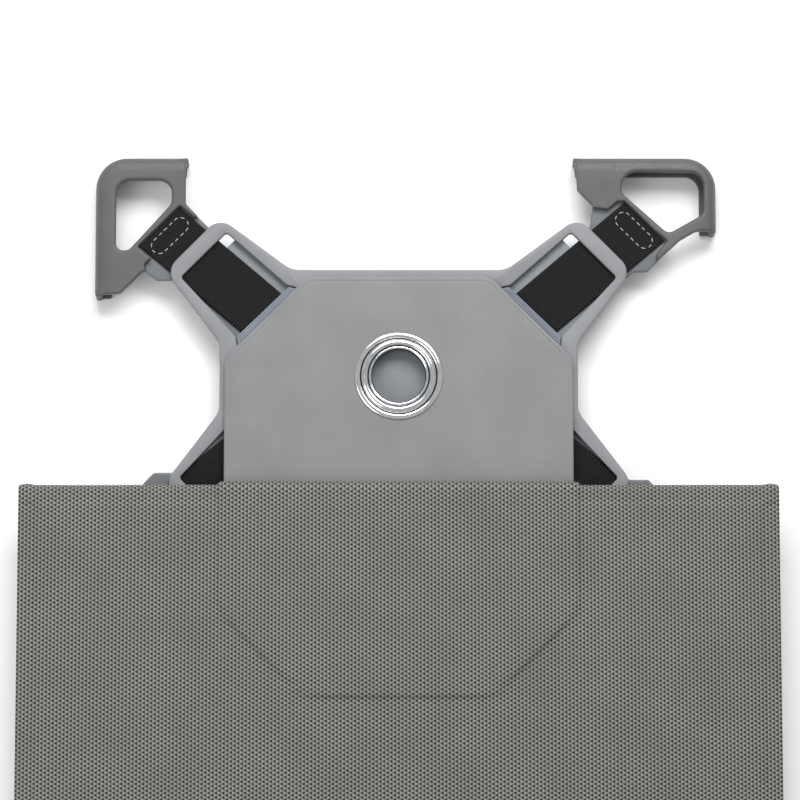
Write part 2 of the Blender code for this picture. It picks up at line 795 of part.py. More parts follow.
def build_keyboard(mats):
    """Tray, bezel, membrane, electronics and controls of the keyboard."""
    rows = row_layout()
    front = FRONT_END_Y + KEYBOARD_MARGIN
    rear = front + KEYBOARD_DEPTH
    half = KEYBOARD_HALF
    origin = (0.0, front, KEYBOARD_LOW)
    floor = KEYBOARD_LOW + TRAY_FLOOR
    tray = prism(
        "keyboard_tray",
        rounded(box_outline((-half, front), (half, rear), 6.0)),
        KEYBOARD_LOW,
        TRAY_HIGH,
    )
    inner_low = (-half + TRAY_WALL, front + TRAY_WALL)
    inner_high = (half - TRAY_WALL, rear - TRAY_WALL)
    cut(tray, rounded(box_outline(inner_low, inner_high, 4.4)), floor, TRAY_HIGH + 1.0)
    socket_x = half - 24.0
    cut(
        tray,
        rounded(box_outline((socket_x - 4.2, rear - 3.0), (socket_x + 4.2, rear + 1.0))),
        floor + 0.4,
        floor + 3.2,
    )
    finish(tray, "keyboard_tray", mats["case_plastic"], origin)

    bezel = prism(
        "keyboard_bezel",
        rounded(box_outline((-half, front), (half, rear), 6.0)),
        BEZEL_LOW,
        BEZEL_HIGH,
    )
    for _, boxes in rows:
        opening = rounded(group_box(boxes, KEY_PLAY))
        cut(bezel, opening, BEZEL_LOW - 1.0, BEZEL_HIGH + 1.0)
    control_y = rear - 6.0
    slots = (
        box_outline((-108.0, control_y - 1.9), (-98.0, control_y + 1.9), 1.0),
        box_outline((-86.0, control_y - 2.4), (-80.0, control_y + 2.4), 2.3),
        box_outline((-72.5, control_y - 1.1), (-69.5, control_y + 1.1), 1.0),
    )
    for slot in slots:
        cut(bezel, rounded(slot), BEZEL_LOW - 1.0, BEZEL_HIGH + 1.0)
    finish(bezel, "keyboard_bezel", mats["case_plastic"], origin)

    key_rear = rows[-1][1][0][3]
    sheet_low = (-half + 3.0, front + 3.0)
    sheet_high = (half - 3.0, key_rear + 1.0)
    membrane = prism(
        "key_membrane", rounded(box_outline(sheet_low, sheet_high, 2.0)), floor + 0.2, floor + 1.0
    )
    finish(membrane, "key_membrane", mats["membrane_rubber"], origin)
    well = (key_rear + 2.2, rear - TRAY_WALL - 0.6)
    blocks = (
        ("keyboard_battery", (-60.0, 40.0), (floor + 0.2, floor + 3.0), "battery_wrap"),
        ("keyboard_pcb", (-118.0, -66.0), (floor + 0.4, floor + 1.2), "circuit_board"),
    )
    for name, span, heights, material in blocks:
        block = prism(
            name, rounded(box_outline((span[0], well[0]), (span[1], well[1]), 0.8)), *heights
        )
        finish(block, name, mats[material], origin)
    socket = prism(
        "usb_socket",
        rounded(box_outline((socket_x - 3.9, well[0]), (socket_x + 3.9, rear - 0.2))),
        floor + 0.6,
        floor + 3.0,
    )
    cut(
        socket,
        rounded(box_outline((socket_x - 3.3, well[0] + 2.0), (socket_x + 3.3, rear + 1.0))),
        floor + 1.0,
        floor + 2.6,
    )
    finish(socket, "usb_socket", mats["steel"], origin)

    switch = prism(
        "power_switch",
        rounded(box_outline((-107.4, control_y - 1.5), (-102.6, control_y + 1.5), 0.6)),
        floor + 1.6,
        BEZEL_HIGH + 0.7,
    )
    finish(switch, "power_switch", mats["key_plastic"], (-105.0, control_y, BEZEL_LOW))
    button = prism(
        "pair_button", circle((-83.0, control_y), 2.0, 20), floor + 2.4, BEZEL_HIGH + 0.6
    )
    finish(button, "pair_button", mats["key_plastic"], (-83.0, control_y, BEZEL_LOW), True)
    lens = prism(
        "status_lens",
        rounded(box_outline((-72.0, control_y - 0.7), (-70.0, control_y + 0.7), 0.5)),
        floor + 1.6,
        BEZEL_HIGH,
    )
    finish(lens, "status_lens", mats["lens"], origin)
    build_keys(mats, rows)

    ridge_y = FRONT_AXIS_Y - 103.0
    ridge = prism(
        "tablet_rest_ridge",
        rounded(box_outline((-105.0, ridge_y - 2.2), (105.0, ridge_y + 2.8), 2.0)),
        FRONT_THICKNESS + SEAM,
        FRONT_THICKNESS + 4.5,
    )
    finish(ridge, "tablet_rest_ridge", mats["membrane_rubber"], (0.0, ridge_y, FRONT_THICKNESS))


def main():
    clear_scene()
    mats = make_materials()
    build_front_cover(mats)
    build_spine(mats)
    build_leg(mats)
    build_far_panel(mats)
    build_swivel(mats)
    build_frame(mats)
    for corner, signs, reach, shape, placed in GRIPS:
        build_grip(mats, corner, signs, reach, shape, placed)
        build_anchor_bar(mats, f"anchor_bar_{corner}", signs)
    build_keyboard(mats)


main()
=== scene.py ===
"""Looks of the tablet keyboard case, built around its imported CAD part. Lengths in millimetres unless said."""

import json
import math

import bmesh
import bpy
import numpy as np
from mathutils import Matrix, Vector
from mathutils import noise

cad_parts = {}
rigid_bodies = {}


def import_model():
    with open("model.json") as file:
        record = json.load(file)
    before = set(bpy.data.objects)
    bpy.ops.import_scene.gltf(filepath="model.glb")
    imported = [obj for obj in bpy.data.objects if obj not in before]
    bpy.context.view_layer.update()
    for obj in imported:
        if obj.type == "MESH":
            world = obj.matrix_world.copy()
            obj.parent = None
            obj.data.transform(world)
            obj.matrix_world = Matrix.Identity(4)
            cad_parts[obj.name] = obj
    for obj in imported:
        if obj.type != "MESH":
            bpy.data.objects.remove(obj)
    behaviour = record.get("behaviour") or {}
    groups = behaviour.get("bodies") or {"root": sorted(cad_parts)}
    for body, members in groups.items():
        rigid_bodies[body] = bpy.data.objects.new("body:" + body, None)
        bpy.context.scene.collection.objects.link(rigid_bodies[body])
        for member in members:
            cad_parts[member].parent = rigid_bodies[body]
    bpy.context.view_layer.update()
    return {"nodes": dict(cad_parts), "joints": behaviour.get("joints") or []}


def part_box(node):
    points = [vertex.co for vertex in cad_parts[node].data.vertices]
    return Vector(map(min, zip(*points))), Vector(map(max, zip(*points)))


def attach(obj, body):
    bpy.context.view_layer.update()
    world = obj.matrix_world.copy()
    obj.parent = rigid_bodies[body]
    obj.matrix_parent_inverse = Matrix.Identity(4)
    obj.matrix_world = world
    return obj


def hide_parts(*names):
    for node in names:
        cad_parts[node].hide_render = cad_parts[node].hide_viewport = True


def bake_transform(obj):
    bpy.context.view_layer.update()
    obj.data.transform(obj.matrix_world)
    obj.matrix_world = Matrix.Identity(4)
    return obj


MM = 0.001
for leftover in list(bpy.data.objects):
    bpy.data.objects.remove(leftover, do_unlink=True)
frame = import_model()
NODES = frame["nodes"]
JOINTS = {j["name"]: j for j in frame["joints"]}


def box(node):
    """A CAD node's lowest and highest corners in millimetres."""
    low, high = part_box(node)
    return low / MM, high / MM


def axis_of(joint):
    """Y and Z of a fold's axis in millimetres."""
    place = JOINTS[joint]["pos_m"]
    return place[1] / MM, place[2] / MM


EYE_Y = (box("eyelet")[0].y + box("eyelet")[1].y) / 2
CREASE_Y, CREASE_Z = axis_of("easel_crease")
LEG_Y, LEG_Z = axis_of("leg_fold")
FRONT_Y, FRONT_Z = axis_of("front_fold")
HALF = box("leg_skin")[1].x
LINING_HEIGHT = 1.9  # of the leg's lining over its outer skin: board and leather
LEG_TOP = box("leg_skin")[1].z + LINING_HEIGHT
LEG_LOW = box("leg_skin")[0].z
FAR_LOW = box("far_lining")[0].z
FAR_HIGH = box("far_skin")[1].z
FAR_END = box("far_lining")[0].y
FRONT_END = box("front_skin")[0].y
FRONT_TOP = box("front_lining")[1].z
PLATE_LOW, PLATE_TOP = box("swivel_plate")[0].z, box("swivel_plate")[1].z
CORNER = 10.0  # rounding of the covers' free corners
HEM = 6.6  # width of the turned and pressed border
FILLET = 3.2  # width over which a sheet thickens to close its edge
END_STEPS = (10.0, 8.0, 6.2, 4.6, 3.2, 2.1, 1.3, 0.7, 0.3, 0.1, 0.0)  # rows of a sheet near its rounded end


# ---------------------------------------------------------------- materials


class Tree:
    """Short calls for one material's nodes."""

    def __init__(self, name, colour, roughness, metallic=0.0):
        self.material = bpy.data.materials.new(name)
        self.material.use_nodes = True
        self.tree = self.material.node_tree
        self.shader = self.tree.nodes["Principled BSDF"]
        self.set(self.shader, "Base Color", (*colour, 1.0))
        self.set(self.shader, "Roughness", roughness)
        self.set(self.shader, "Metallic", metallic)
        self.material.diffuse_color = (*colour, 1.0)

    def set(self, node, socket, value):
        if isinstance(value, bpy.types.NodeSocket):
            self.tree.links.new(value, node.inputs[socket])
        else:
            node.inputs[socket].default_value = value

    def node(self, kind, settings=None, **sockets):
        made = self.tree.nodes.new(kind)
        for key, value in (settings or {}).items():
            setattr(made, key, value)
        for key, value in sockets.items():
            name = int(key[1:]) if key[0] == "s" and key[1:].isdigit() else key.replace("_", " ")
            self.set(made, name, value)
        return made

    def math(self, operation, *values):
        sockets = {f"s{i}": v for i, v in enumerate(values)}
        return self.node("ShaderNodeMath", {"operation": operation}, **sockets).outputs[0]

    def vector(self, operation, *values):
        sockets = {f"s{i}": v for i, v in enumerate(values)}
        made = self.node("ShaderNodeVectorMath", {"operation": operation}, **sockets)
        return made.outputs["Value" if operation in ("LENGTH", "DOT_PRODUCT") else "Vector"]

    def ramp(self, value, low, high, to_low=0.0, to_high=1.0):
        """A clamped, eased map of value from low..high."""
        made = self.node(
            "ShaderNodeMapRange", {"interpolation_type": "SMOOTHSTEP"},
            Value=value, From_Min=low, From_Max=high, To_Min=to_low, To_Max=to_high,
        )
        return made.outputs[0]

    def noise(self, where, scale, detail=2.0, roughness=0.5):
        made = self.node(
            "ShaderNodeTexNoise", Vector=where, Scale=scale, Detail=detail, Roughness=roughness
        )
        return made.outputs[0]

    def mix(self, share, first, second):
        """Mixes two colours."""
        made = self.node("ShaderNodeMix", {"data_type": "RGBA"})
        self.set(made, 0, share)
        self.set(made, 6, first)
        self.set(made, 7, second)
        return made.outputs[2]

    def bump(self, height, distance, strength=1.0, under=None):
        made = self.node("ShaderNodeBump", Height=height, Strength=strength)
        made.inputs["Distance"].default_value = distance * MM
        if under is not None:
            self.set(made, "Normal", under)
        return made.outputs[0]

    def where(self, attribute=None):
        """Millimetre coordinates: a stored pattern, or the object's own."""
        if attribute:
            made = self.node("ShaderNodeAttribute", {"attribute_name": attribute})
            return made.outputs["Vector"]
        made = self.node("ShaderNodeTexCoord")
        return self.vector("MULTIPLY", made.outputs["Object"], (1000.0, 1000.0, 1000.0))


def rgb(r, g, b):
    """Linear colour of an sRGB one given in 0 to 255."""
    return tuple((v / 255 / 12.92) if v < 10 else ((v / 255 + 0.055) / 1.055) ** 2.4 for v in (r, g, b))


def rgba(r, g, b):
    return (*rgb(r, g, b), 1.0)


def triangle_distance(t, offset, size):
    """Distance, by a left-pointing triangle's measure, to the nearest point of a lattice."""
    x = t.node("ShaderNodeSeparateXYZ", Vector=offset)
    across = t.math("MULTIPLY", t.math("SUBTRACT", x.outputs[0], 0.5), size[0])
    along = t.math("MULTIPLY", t.math("SUBTRACT", x.outputs[1], 0.5), size[1])
    slant = t.math("MULTIPLY_ADD", t.math("ABSOLUTE", along), 0.866, t.math("MULTIPLY", across, -0.5))
    return t.math("MAXIMUM", across, slant)


def dotted_leather():
    """Grey polyurethane leather embossed with a close pattern of small triangular pits, with painted shade
    making them and their rims dark.
    """
    t = Tree("dotted_leather", rgb(141, 142, 137), 0.55)
    place = t.where("pattern")
    columns, pitch = 1.41, 1.74
    scaled = t.vector("MULTIPLY", place, (1 / (2 * columns), 1 / pitch, 0.0))
    first = t.vector("FRACTION", scaled)
    second = t.vector("FRACTION", t.vector("ADD", scaled, (0.5, 0.5, 0.0)))
    size = (2 * columns, pitch)
    near = t.math("MINIMUM", triangle_distance(t, first, size), triangle_distance(t, second, size))
    wander = t.noise(place, 1.3, 2.0)
    near = t.math("ADD", near, t.math("MULTIPLY_ADD", wander, 0.16, -0.08))
    pit_shade = t.ramp(near, 0.31, 0.45, 1.0, 0.0)
    rim = t.ramp(near, 0.34, 0.66, 0.0, 1.0)
    shade = t.noise(place, 0.045, 3.0)
    body = t.mix(t.ramp(shade, 0.3, 0.7), rgba(123, 124, 119), rgba(132, 133, 128))
    body = t.mix(t.ramp(t.noise(place, 5.0, 3.0), 0.35, 0.75, 0.0, 0.35), body, rgba(112, 113, 108))
    # Painted shade: darker on the pits' sloping rims, near black inside the pits.
    body = t.mix(rim, rgba(99, 100, 96), body)
    t.set(t.shader, "Base Color", t.mix(pit_shade, body, rgba(11, 11, 11)))
    t.set(t.shader, "Roughness", t.ramp(t.noise(place, 2.2, 3.0), 0.3, 0.7, 0.5, 0.68))
    t.set(t.shader, "Specular IOR Level", 0.35)
    grain = t.bump(t.noise(place, 6.0, 4.0, 0.6), 0.05)
    t.set(t.shader, "Normal", t.bump(rim, 0.16, 0.9, grain))
    return t.material


def grained_leather(name, colour, light, cell, depth):
    """Smooth leather with a fine pebbled grain."""
    t = Tree(name, rgb(*colour), 0.5)
    place = t.where("pattern")
    edges = {"feature": "DISTANCE_TO_EDGE"}
    cells = t.node("ShaderNodeTexVoronoi", edges, Vector=place, Scale=1 / cell)
    crease = t.ramp(cells.outputs["Distance"], 0.0, 0.16)
    shade = t.mix(t.ramp(t.noise(place, 0.05, 4.0), 0.3, 0.7), rgba(*colour), rgba(*light))
    fine = t.ramp(t.noise(place, 3.5, 4.0, 0.65), 0.3, 0.75, 0.0, 0.22)
    shade = t.mix(fine, shade, rgba(*(round(c * 0.84) for c in colour)))
    t.set(t.shader, "Base Color", shade)
    t.set(t.shader, "Roughness", t.ramp(t.noise(place, 1.2, 3.0), 0.3, 0.7, 0.42, 0.58))
    t.set(t.shader, "Specular IOR Level", 0.4)
    soft = t.bump(t.noise(place, 2.4, 4.0, 0.6), depth * 1.4)
    t.set(t.shader, "Normal", t.bump(crease, depth, 0.7, soft))
    return t.material


def moulded(name, colour, light, roughness, grain):
    """Moulded plastic or rubber: slight clouding, fine spark-eroded grain."""
    t = Tree(name, rgb(*colour), roughness)
    place = t.where()
    shade = t.mix(t.ramp(t.noise(place, 0.06, 3.0), 0.3, 0.7), rgba(*colour), rgba(*light))
    speck = t.ramp(t.noise(place, 4.5, 3.0, 0.7), 0.4, 0.8, 0.0, 0.18)
    shade = t.mix(speck, shade, rgba(*(round(c * 0.86) for c in colour)))
    t.set(t.shader, "Base Color", shade)
    rough = t.ramp(t.noise(place, 0.8, 4.0), 0.3, 0.7, roughness - 0.06, roughness + 0.08)
    t.set(t.shader, "Roughness", rough)
    t.set(t.shader, "Specular IOR Level", 0.4)
    t.set(t.shader, "Normal", t.bump(t.noise(place, 5.0, 4.0, 0.65), grain * 2.2))
    return t.material


def elastic():
    """Black woven elastic: fine ribs across, broken into a brick-like weave along."""
    t = Tree("strap_elastic", rgb(22, 22, 23), 0.8)
    place = t.where("pattern")
    parts = t.node("ShaderNodeSeparateXYZ", Vector=place)
    along, across = parts.outputs[0], parts.outputs[1]
    turn = 2 * math.pi
    row = t.math("FRACT", t.math("MULTIPLY", along, 1 / 1.3))
    shift = t.math("MULTIPLY", t.math("GREATER_THAN", row, 0.5), math.pi)
    weft = t.math("SINE", t.math("MULTIPLY_ADD", across, turn / 0.92, shift))
    warp = t.math("SINE", t.math("MULTIPLY", along, turn / 0.65))
    weave = t.math("MULTIPLY_ADD", weft, 0.5, t.math("MULTIPLY", warp, 0.5))
    edge = t.ramp(t.math("ABSOLUTE", across), 8.9, 9.6)
    ribs = t.math("SINE", t.math("MULTIPLY", along, turn / 1.15))
    one_side = t.math("MULTIPLY", t.math("LESS_THAN", across, 0.0), 0.6)
    one_side = t.math("MULTIPLY", edge, one_side)
    height = t.node("ShaderNodeMix", {"data_type": "FLOAT"})
    t.set(height, 0, one_side)
    t.set(height, 2, weave)
    t.set(height, 3, ribs)
    # Painted shade and light: darker in the weave's hollows, lighter on its raised threads.
    relief_shade = t.ramp(height.outputs[0], -0.6, 1.0)
    body = t.mix(relief_shade, rgba(3, 3, 3), rgba(47, 47, 48))
    fuzz = t.ramp(t.noise(place, 3.0, 4.0, 0.7), 0.5, 0.85, 0.0, 0.5)
    t.set(t.shader, "Base Color", t.mix(fuzz, body, rgba(52, 52, 52)))
    t.set(t.shader, "Sheen Weight", 0.05)
    t.set(t.shader, "Specular IOR Level", 0.15)
    t.set(t.shader, "Normal", t.bump(height.outputs[0], 0.22, 0.9))
    return t.material


def thread():
    """Pale twisted sewing thread."""
    t = Tree("tab_thread", rgb(196, 197, 196), 0.6)
    place = t.where("pattern")
    parts = t.node("ShaderNodeSeparateXYZ", Vector=place)
    twist = t.math("ADD", parts.outputs[0], t.math("MULTIPLY", parts.outputs[1], 0.5))
    ply = t.math("SINE", t.math("MULTIPLY", twist, 2 * math.pi / 0.45))
    # Painted shade and light: darker in the grooves between the plies, lighter on their crowns.
    relief_shade = t.ramp(ply, -0.9, 0.6)
    t.set(t.shader, "Base Color", t.mix(relief_shade, rgba(128, 129, 128), rgba(196, 197, 195)))
    t.set(t.shader, "Normal", t.bump(ply, 0.05))
    return t.material


def plated(name, colour, roughness, scratch, shaded_groove_radii=()):
    """Plated metal with faint handling marks, and painted shade as dark rings in the grooves at given radii
    about the eyelet.
    """
    t = Tree(name, rgb(*colour), roughness, 1.0)
    place = t.where()
    smear = t.noise(t.vector("MULTIPLY", place, (0.35, 0.35, 1.2)), 1.0, 4.0)
    t.set(t.shader, "Roughness", t.ramp(smear, 0.3, 0.8, roughness * 0.6, roughness * 1.9))
    tint = t.mix(t.ramp(smear, 0.35, 0.7), rgba(*colour), rgba(*(max(0, c - 22) for c in colour)))
    for radius in shaded_groove_radii:
        flat = t.vector("MULTIPLY", t.vector("SUBTRACT", place, (0.0, EYE_Y, 0.0)), (1.0, 1.0, 0.0))
        gap = t.math("ABSOLUTE", t.math("SUBTRACT", t.vector("LENGTH", flat), radius))
        # Painted shade: darkens the colour in a thin ring over each groove.
        tint = t.mix(t.ramp(gap, 0.08, 0.28), rgba(58, 59, 61), tint)
    t.set(t.shader, "Base Color", tint)
    t.set(t.shader, "Normal", t.bump(t.noise(place, 2.5, 5.0, 0.7), scratch))
    return t.material


def greyboard():
    """Pressed board with flecks and layered edges."""
    t = Tree("board", rgb(150, 143, 131), 0.9)
    place = t.where()
    fibre = t.noise(t.vector("MULTIPLY", place, (0.5, 0.5, 6.0)), 1.4, 5.0, 0.7)
    shade = t.mix(t.ramp(fibre, 0.3, 0.7), rgba(128, 121, 110), rgba(168, 161, 148))
    t.set(t.shader, "Base Color", shade)
    t.set(t.shader, "Normal", t.bump(fibre, 0.06))
    return t.material


def circuit():
    """Green solder mask with tracks under it."""
    t = Tree("circuit_board", rgb(22, 84, 48), 0.4)
    place = t.where()
    tracks = t.node("ShaderNodeTexBrick", Vector=place, Scale=0.16, Mortar_Size=0.02)
    t.set(tracks, "Color1", rgba(18, 74, 42))
    t.set(tracks, "Color2", rgba(24, 92, 52))
    t.set(tracks, "Mortar", rgba(66, 130, 74))
    t.set(t.shader, "Base Color", tracks.outputs[0])
    t.set(t.shader, "Normal", t.bump(tracks.outputs[1], 0.03))
    return t.material


def lens_plastic():
    """Cloudy light pipe."""
    t = Tree("lens", rgb(206, 216, 226), 0.2)
    place = t.where()
    cloud = t.ramp(t.noise(place, 1.0, 3.0), 0.3, 0.7)
    t.set(t.shader, "Base Color", t.mix(cloud, rgba(190, 202, 214), rgba(226, 233, 240)))
    t.set(t.shader, "Coat Weight", 0.5)
    return t.material


M = {
    "dotted_leather": dotted_leather(),
    "board": greyboard(),
    "strap_elastic": elastic(),
    "thread": thread(),
    "circuit_board": circuit(),
    "lens": lens_plastic(),
}
for maker, looks in (
    (grained_leather, (
        ("outer_leather", (74, 75, 76), (84, 85, 86), 0.9, 0.05),
        ("smooth_leather", (120, 121, 122), (126, 127, 128), 0.75, 0.018),
    )),
    (moulded, (
        ("grip_rubber", (79, 80, 79), (86, 87, 86), 0.5, 0.012),
        ("tongue_rubber", (94, 97, 101), (104, 107, 111), 0.45, 0.012),
        ("frame_plastic", (124, 125, 128), (130, 131, 134), 0.46, 0.014),
        ("backing_plastic", (112, 117, 122), (122, 127, 132), 0.5, 0.02),
        ("ribbed_webbing", (119, 126, 136), (133, 140, 149), 0.7, 0.03),
        ("key_plastic", (44, 44, 46), (52, 52, 54), 0.5, 0.02),
        ("legend_ink", (205, 206, 208), (216, 217, 218), 0.5, 0.01),
        ("case_plastic", (78, 79, 81), (86, 87, 89), 0.5, 0.03),
        ("membrane_rubber", (104, 106, 108), (116, 118, 120), 0.7, 0.03),
    )),
    (plated, (
        # The last entry: radii of the eyelet's grooves that get painted shade.
        ("chrome", (224, 226, 228), 0.10, 0.0008, (15.05, 12.1, 10.7)),
        ("steel", (196, 196, 198), 0.26, 0.02),
        ("battery_wrap", (176, 178, 182), 0.4, 0.05),
    )),
):
    for look in looks:
        M[look[0]] = maker(*look)


def dress(obj, material):
    obj.data.materials.clear()
    obj.data.materials.append(M[material])
    return obj


# ---------------------------------------------------------------- mesh helpers


def linked(name, mesh):
    made = bpy.data.objects.new(name, mesh)
    bpy.context.scene.collection.objects.link(made)
    return made


def mesh_object(name, points, faces, pattern=None, sharp=35.0):
    """A mesh from millimetre points; pattern is the flat coordinate that its texture follows."""
    mesh = bpy.data.meshes.new(name)
    mesh.from_pydata([tuple(c * MM for c in p) for p in points], [], faces)
    if pattern is not None:
        stored = mesh.attributes.new("pattern", "FLOAT_VECTOR", "POINT")
        stored.data.foreach_set("vector", np.asarray(pattern, np.float32).ravel())
    shape = bmesh.new()
    shape.from_mesh(mesh)
    bmesh.ops.recalc_face_normals(shape, faces=shape.faces)
    shape.to_mesh(mesh)
    shape.free()
    mesh.shade_smooth()
    mesh.set_sharp_from_angle(angle=math.radians(sharp))
    return linked(name, mesh)


def flat_pattern(obj):
    """Stores a piece's own plan coordinates as its texture coordinate."""
    points = np.array([v.co for v in obj.data.vertices], np.float32) * 1000
    stored = obj.data.attributes.get("pattern")
    stored = stored or obj.data.attributes.new("pattern", "FLOAT_VECTOR", "POINT")
    stored.data.foreach_set("vector", points.ravel())
    return obj


def rounded(corners, steps=8):
    """A polygon from (x, y, radius) corners, each turned into an arc."""
    points = []
    for i, (x, y, radius) in enumerate(corners):
        here = Vector((x, y))
        if radius <= 0:
            points.append(here)
            continue
        back = (Vector(corners[i - 1][:2]) - here).normalized()
        ahead = (Vector(corners[(i + 1) % len(corners)][:2]) - here).normalized()
        half = back.angle(ahead) / 2
        centre = here + (back + ahead).normalized() * radius / math.sin(half)
        start = here + back * radius / math.tan(half) - centre
        end = here + ahead * radius / math.tan(half) - centre
        first = math.atan2(start.y, start.x)
        sweep = math.atan2(start.cross(end), start.dot(end))
        for step in range(steps + 1):
            angle = first + sweep * step / steps
            points.append(centre + radius * Vector((math.cos(angle), math.sin(angle))))
    return points


def rectangle(x0, y0, x1, y1, radius=0.0):
    return [(x0, y0, radius), (x1, y0, radius), (x1, y1, radius), (x0, y1, radius)]


def circle(x, y, radius):
    turns = [2 * math.pi * i / 96 for i in range(96)]
    return [Vector((x + radius * math.cos(a), y + radius * math.sin(a))) for a in turns]


def anticlockwise(points):
    area = sum(points[i - 1].cross(points[i]) for i in range(len(points)))
    return points if area > 0 else points[::-1]


def inset(points, distance):
    """An anticlockwise outline moved inwards."""
    moved = []
    count = len(points)
    for i in range(count):
        before = (points[i] - points[i - 1]).normalized()
        after = (points[(i + 1) % count] - points[i]).normalized()
        a, b = Vector((-before.y, before.x)), Vector((-after.y, after.x))
        middle = (a + b).normalized()
        moved.append(points[i] + middle * distance / max(0.35, middle.dot(a)))
    return moved


def lofted(name, outline, layers, sharp=35.0):
    """A closed piece from one outline at several (inset, height) layers, bottom to top."""
    outline = anticlockwise(outline)
    points, faces = [], []
    count = len(outline)
    for distance, height in layers:
        ring = inset(outline, distance) if distance else outline
        points += [(p.x, p.y, height) for p in ring]
    for k in range(len(layers) - 1):
        low, high = k * count, (k + 1) * count
        for i in range(count):
            j = (i + 1) % count
            faces.append((low + i, low + j, high + j, high + i))
    faces.append(tuple(range(count))[::-1])
    faces.append(tuple(range((len(layers) - 1) * count, len(layers) * count)))
    return mesh_object(name, points, faces, sharp=sharp)


def soft_edge(low, high, radius, both=True, steps=3):
    """Layers of a slab whose top, and bottom if both, edges are rounded."""
    layers = []
    quarter = [math.pi / 2 * i / steps for i in range(steps + 1)]
    if both:
        layers += [(radius * (1 - math.sin(a)), low + radius * (1 - math.cos(a))) for a in quarter]
    else:
        layers.append((0.0, low))
    layers += [(radius * (1 - math.cos(a)), high - radius * (1 - math.sin(a))) for a in quarter]
    return layers


def flared(low, high, radius, steps=3):
    """Layers of a cutter that widens at its top, so that the hole it cuts has a rounded edge."""
    layers = [(0.0, low)]
    for i in range(steps + 1):
        a = math.pi / 2 * i / steps
        layers.append((-radius * (1 - math.cos(a)), high - radius * (1 - math.sin(a))))
    layers.append((-radius - 0.5, high + 0.5))
    return layers


def combine(base, tool, operation="DIFFERENCE"):
    """Joins or cuts base with tool; the tool is used up."""
    modifier = base.modifiers.new("combine", "BOOLEAN")
    modifier.operation = operation
    modifier.solver = "EXACT"
    modifier.object = tool
    return applied(base, tool)


def applied(obj, *used):
    """Makes the modifiers' result the mesh, and removes what they used."""
    bpy.context.view_layer.update()
    evaluated = obj.evaluated_get(bpy.context.evaluated_depsgraph_get())
    result = bpy.data.meshes.new_from_object(evaluated)
    obj.modifiers.clear()
    obj.data = result
    for tool in used:
        bpy.data.objects.remove(tool, do_unlink=True)
    return obj


def prism(name, outline, low, high):
    return lofted(name, outline, [(0.0, low), (0.0, high)])


def shaded(obj, angle=35.0):
    obj.data.shade_smooth()
    obj.data.set_sharp_from_angle(angle=math.radians(angle))
    return obj


def evened(obj):
    """Shades large flat faces evenly beside their rounded edges."""
    obj.modifiers.new("normals", "WEIGHTED_NORMAL").keep_sharp = True
    return applied(obj)


def softened(obj, voxel, passes):
    """Remeshes a piece finely and melts its edges, for a soft moulding."""
    remesh = obj.modifiers.new("remesh", "REMESH")
    remesh.mode = "VOXEL"
    remesh.voxel_size = voxel * MM
    smooth = obj.modifiers.new("smooth", "SMOOTH")
    smooth.factor = 0.5
    smooth.iterations = passes
    applied(obj)
    obj.data.shade_smooth()
    return obj


def slab(name, low, high, radius, layers, steps=8):
    """A closed piece over the plan between two corners."""
    plan = rounded(rectangle(low.x, low.y, high.x, high.y, radius), steps)
    return lofted(name, plan, layers, 60.0)


def closed_grid(rows, cols):
    """Faces of a sheet of two grids of points, the upper one first, with its rim closed."""
    under = rows * cols
    faces = []
    for r in range(rows - 1):
        for c in range(cols - 1):
            a = r * cols + c
            faces.append((a, a + 1, a + cols + 1, a + cols))
            faces.append((under + a, under + a + cols, under + a + cols + 1, under + a + 1))
    ring = list(range(cols)) + [r * cols + cols - 1 for r in range(1, rows)]
    ring += [(rows - 1) * cols + c for c in range(cols - 2, -1, -1)]
    ring += [r * cols for r in range(rows - 2, 0, -1)]
    return faces + [(a, under + a, under + b, b) for a, b in zip(ring, ring[1:] + ring[:1])]


def place(obj, body, material, *replaced, slot=None):
    """Gives a piece its material and body, and the CAD nodes it stands for."""
    if material:
        dress(obj, material)
    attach(obj, body)
    if replaced:
        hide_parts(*replaced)
    return obj


def step(value, low, high):
    """0 below low, 1 above high, eased between."""
    t = np.clip((np.asarray(value, float) - low) / (high - low), 0.0, 1.0)
    return t * t * (3 - 2 * t)


# ---------------------------------------------------------------- leather panels


def fractal(xs, ys, scale, seed):
    """Slow, smooth unevenness over a grid, about -0.5 to 0.5."""
    return np.array(
        [[noise.fractal(Vector((x * scale, y * scale, seed)), 1.0, 2.0, 2) for x in row_x]
         for row_x, y in ((np.atleast_1d(xs), yy) for yy in ys)]
    )


class Path:
    """A sheet's section in the Y-Z plane, as points with normals and running length."""

    def __init__(self, points, flip=False):
        self.points = np.array(points, float)
        along = np.gradient(self.points, axis=0)
        along /= np.linalg.norm(along, axis=1)[:, None]
        normal = np.stack([-along[:, 1], along[:, 0]], axis=1)
        self.normals = -normal if flip else normal
        steps = np.linalg.norm(np.diff(self.points, axis=0), axis=1)
        self.run = np.concatenate([[0.0], np.cumsum(steps)])


def line(y0, z0, y1, z1, spacing):
    count = max(2, int(round(math.hypot(y1 - y0, z1 - z0) / spacing)) + 1)
    shares = [i / (count - 1) for i in range(count)]
    return [(y0 + (y1 - y0) * share, z0 + (z1 - z0) * share) for share in shares]


def bent(a, corner, b):
    """A smooth curve from a to b, pulled to the corner point."""
    out = []
    for t in np.linspace(0.0, 1.0, 9):
        w = ((1 - t) ** 2, 2 * t * (1 - t), t * t)
        out.append(tuple(a[k] * w[0] + corner[k] * w[1] + b[k] * w[2] for k in (0, 1)))
    return out


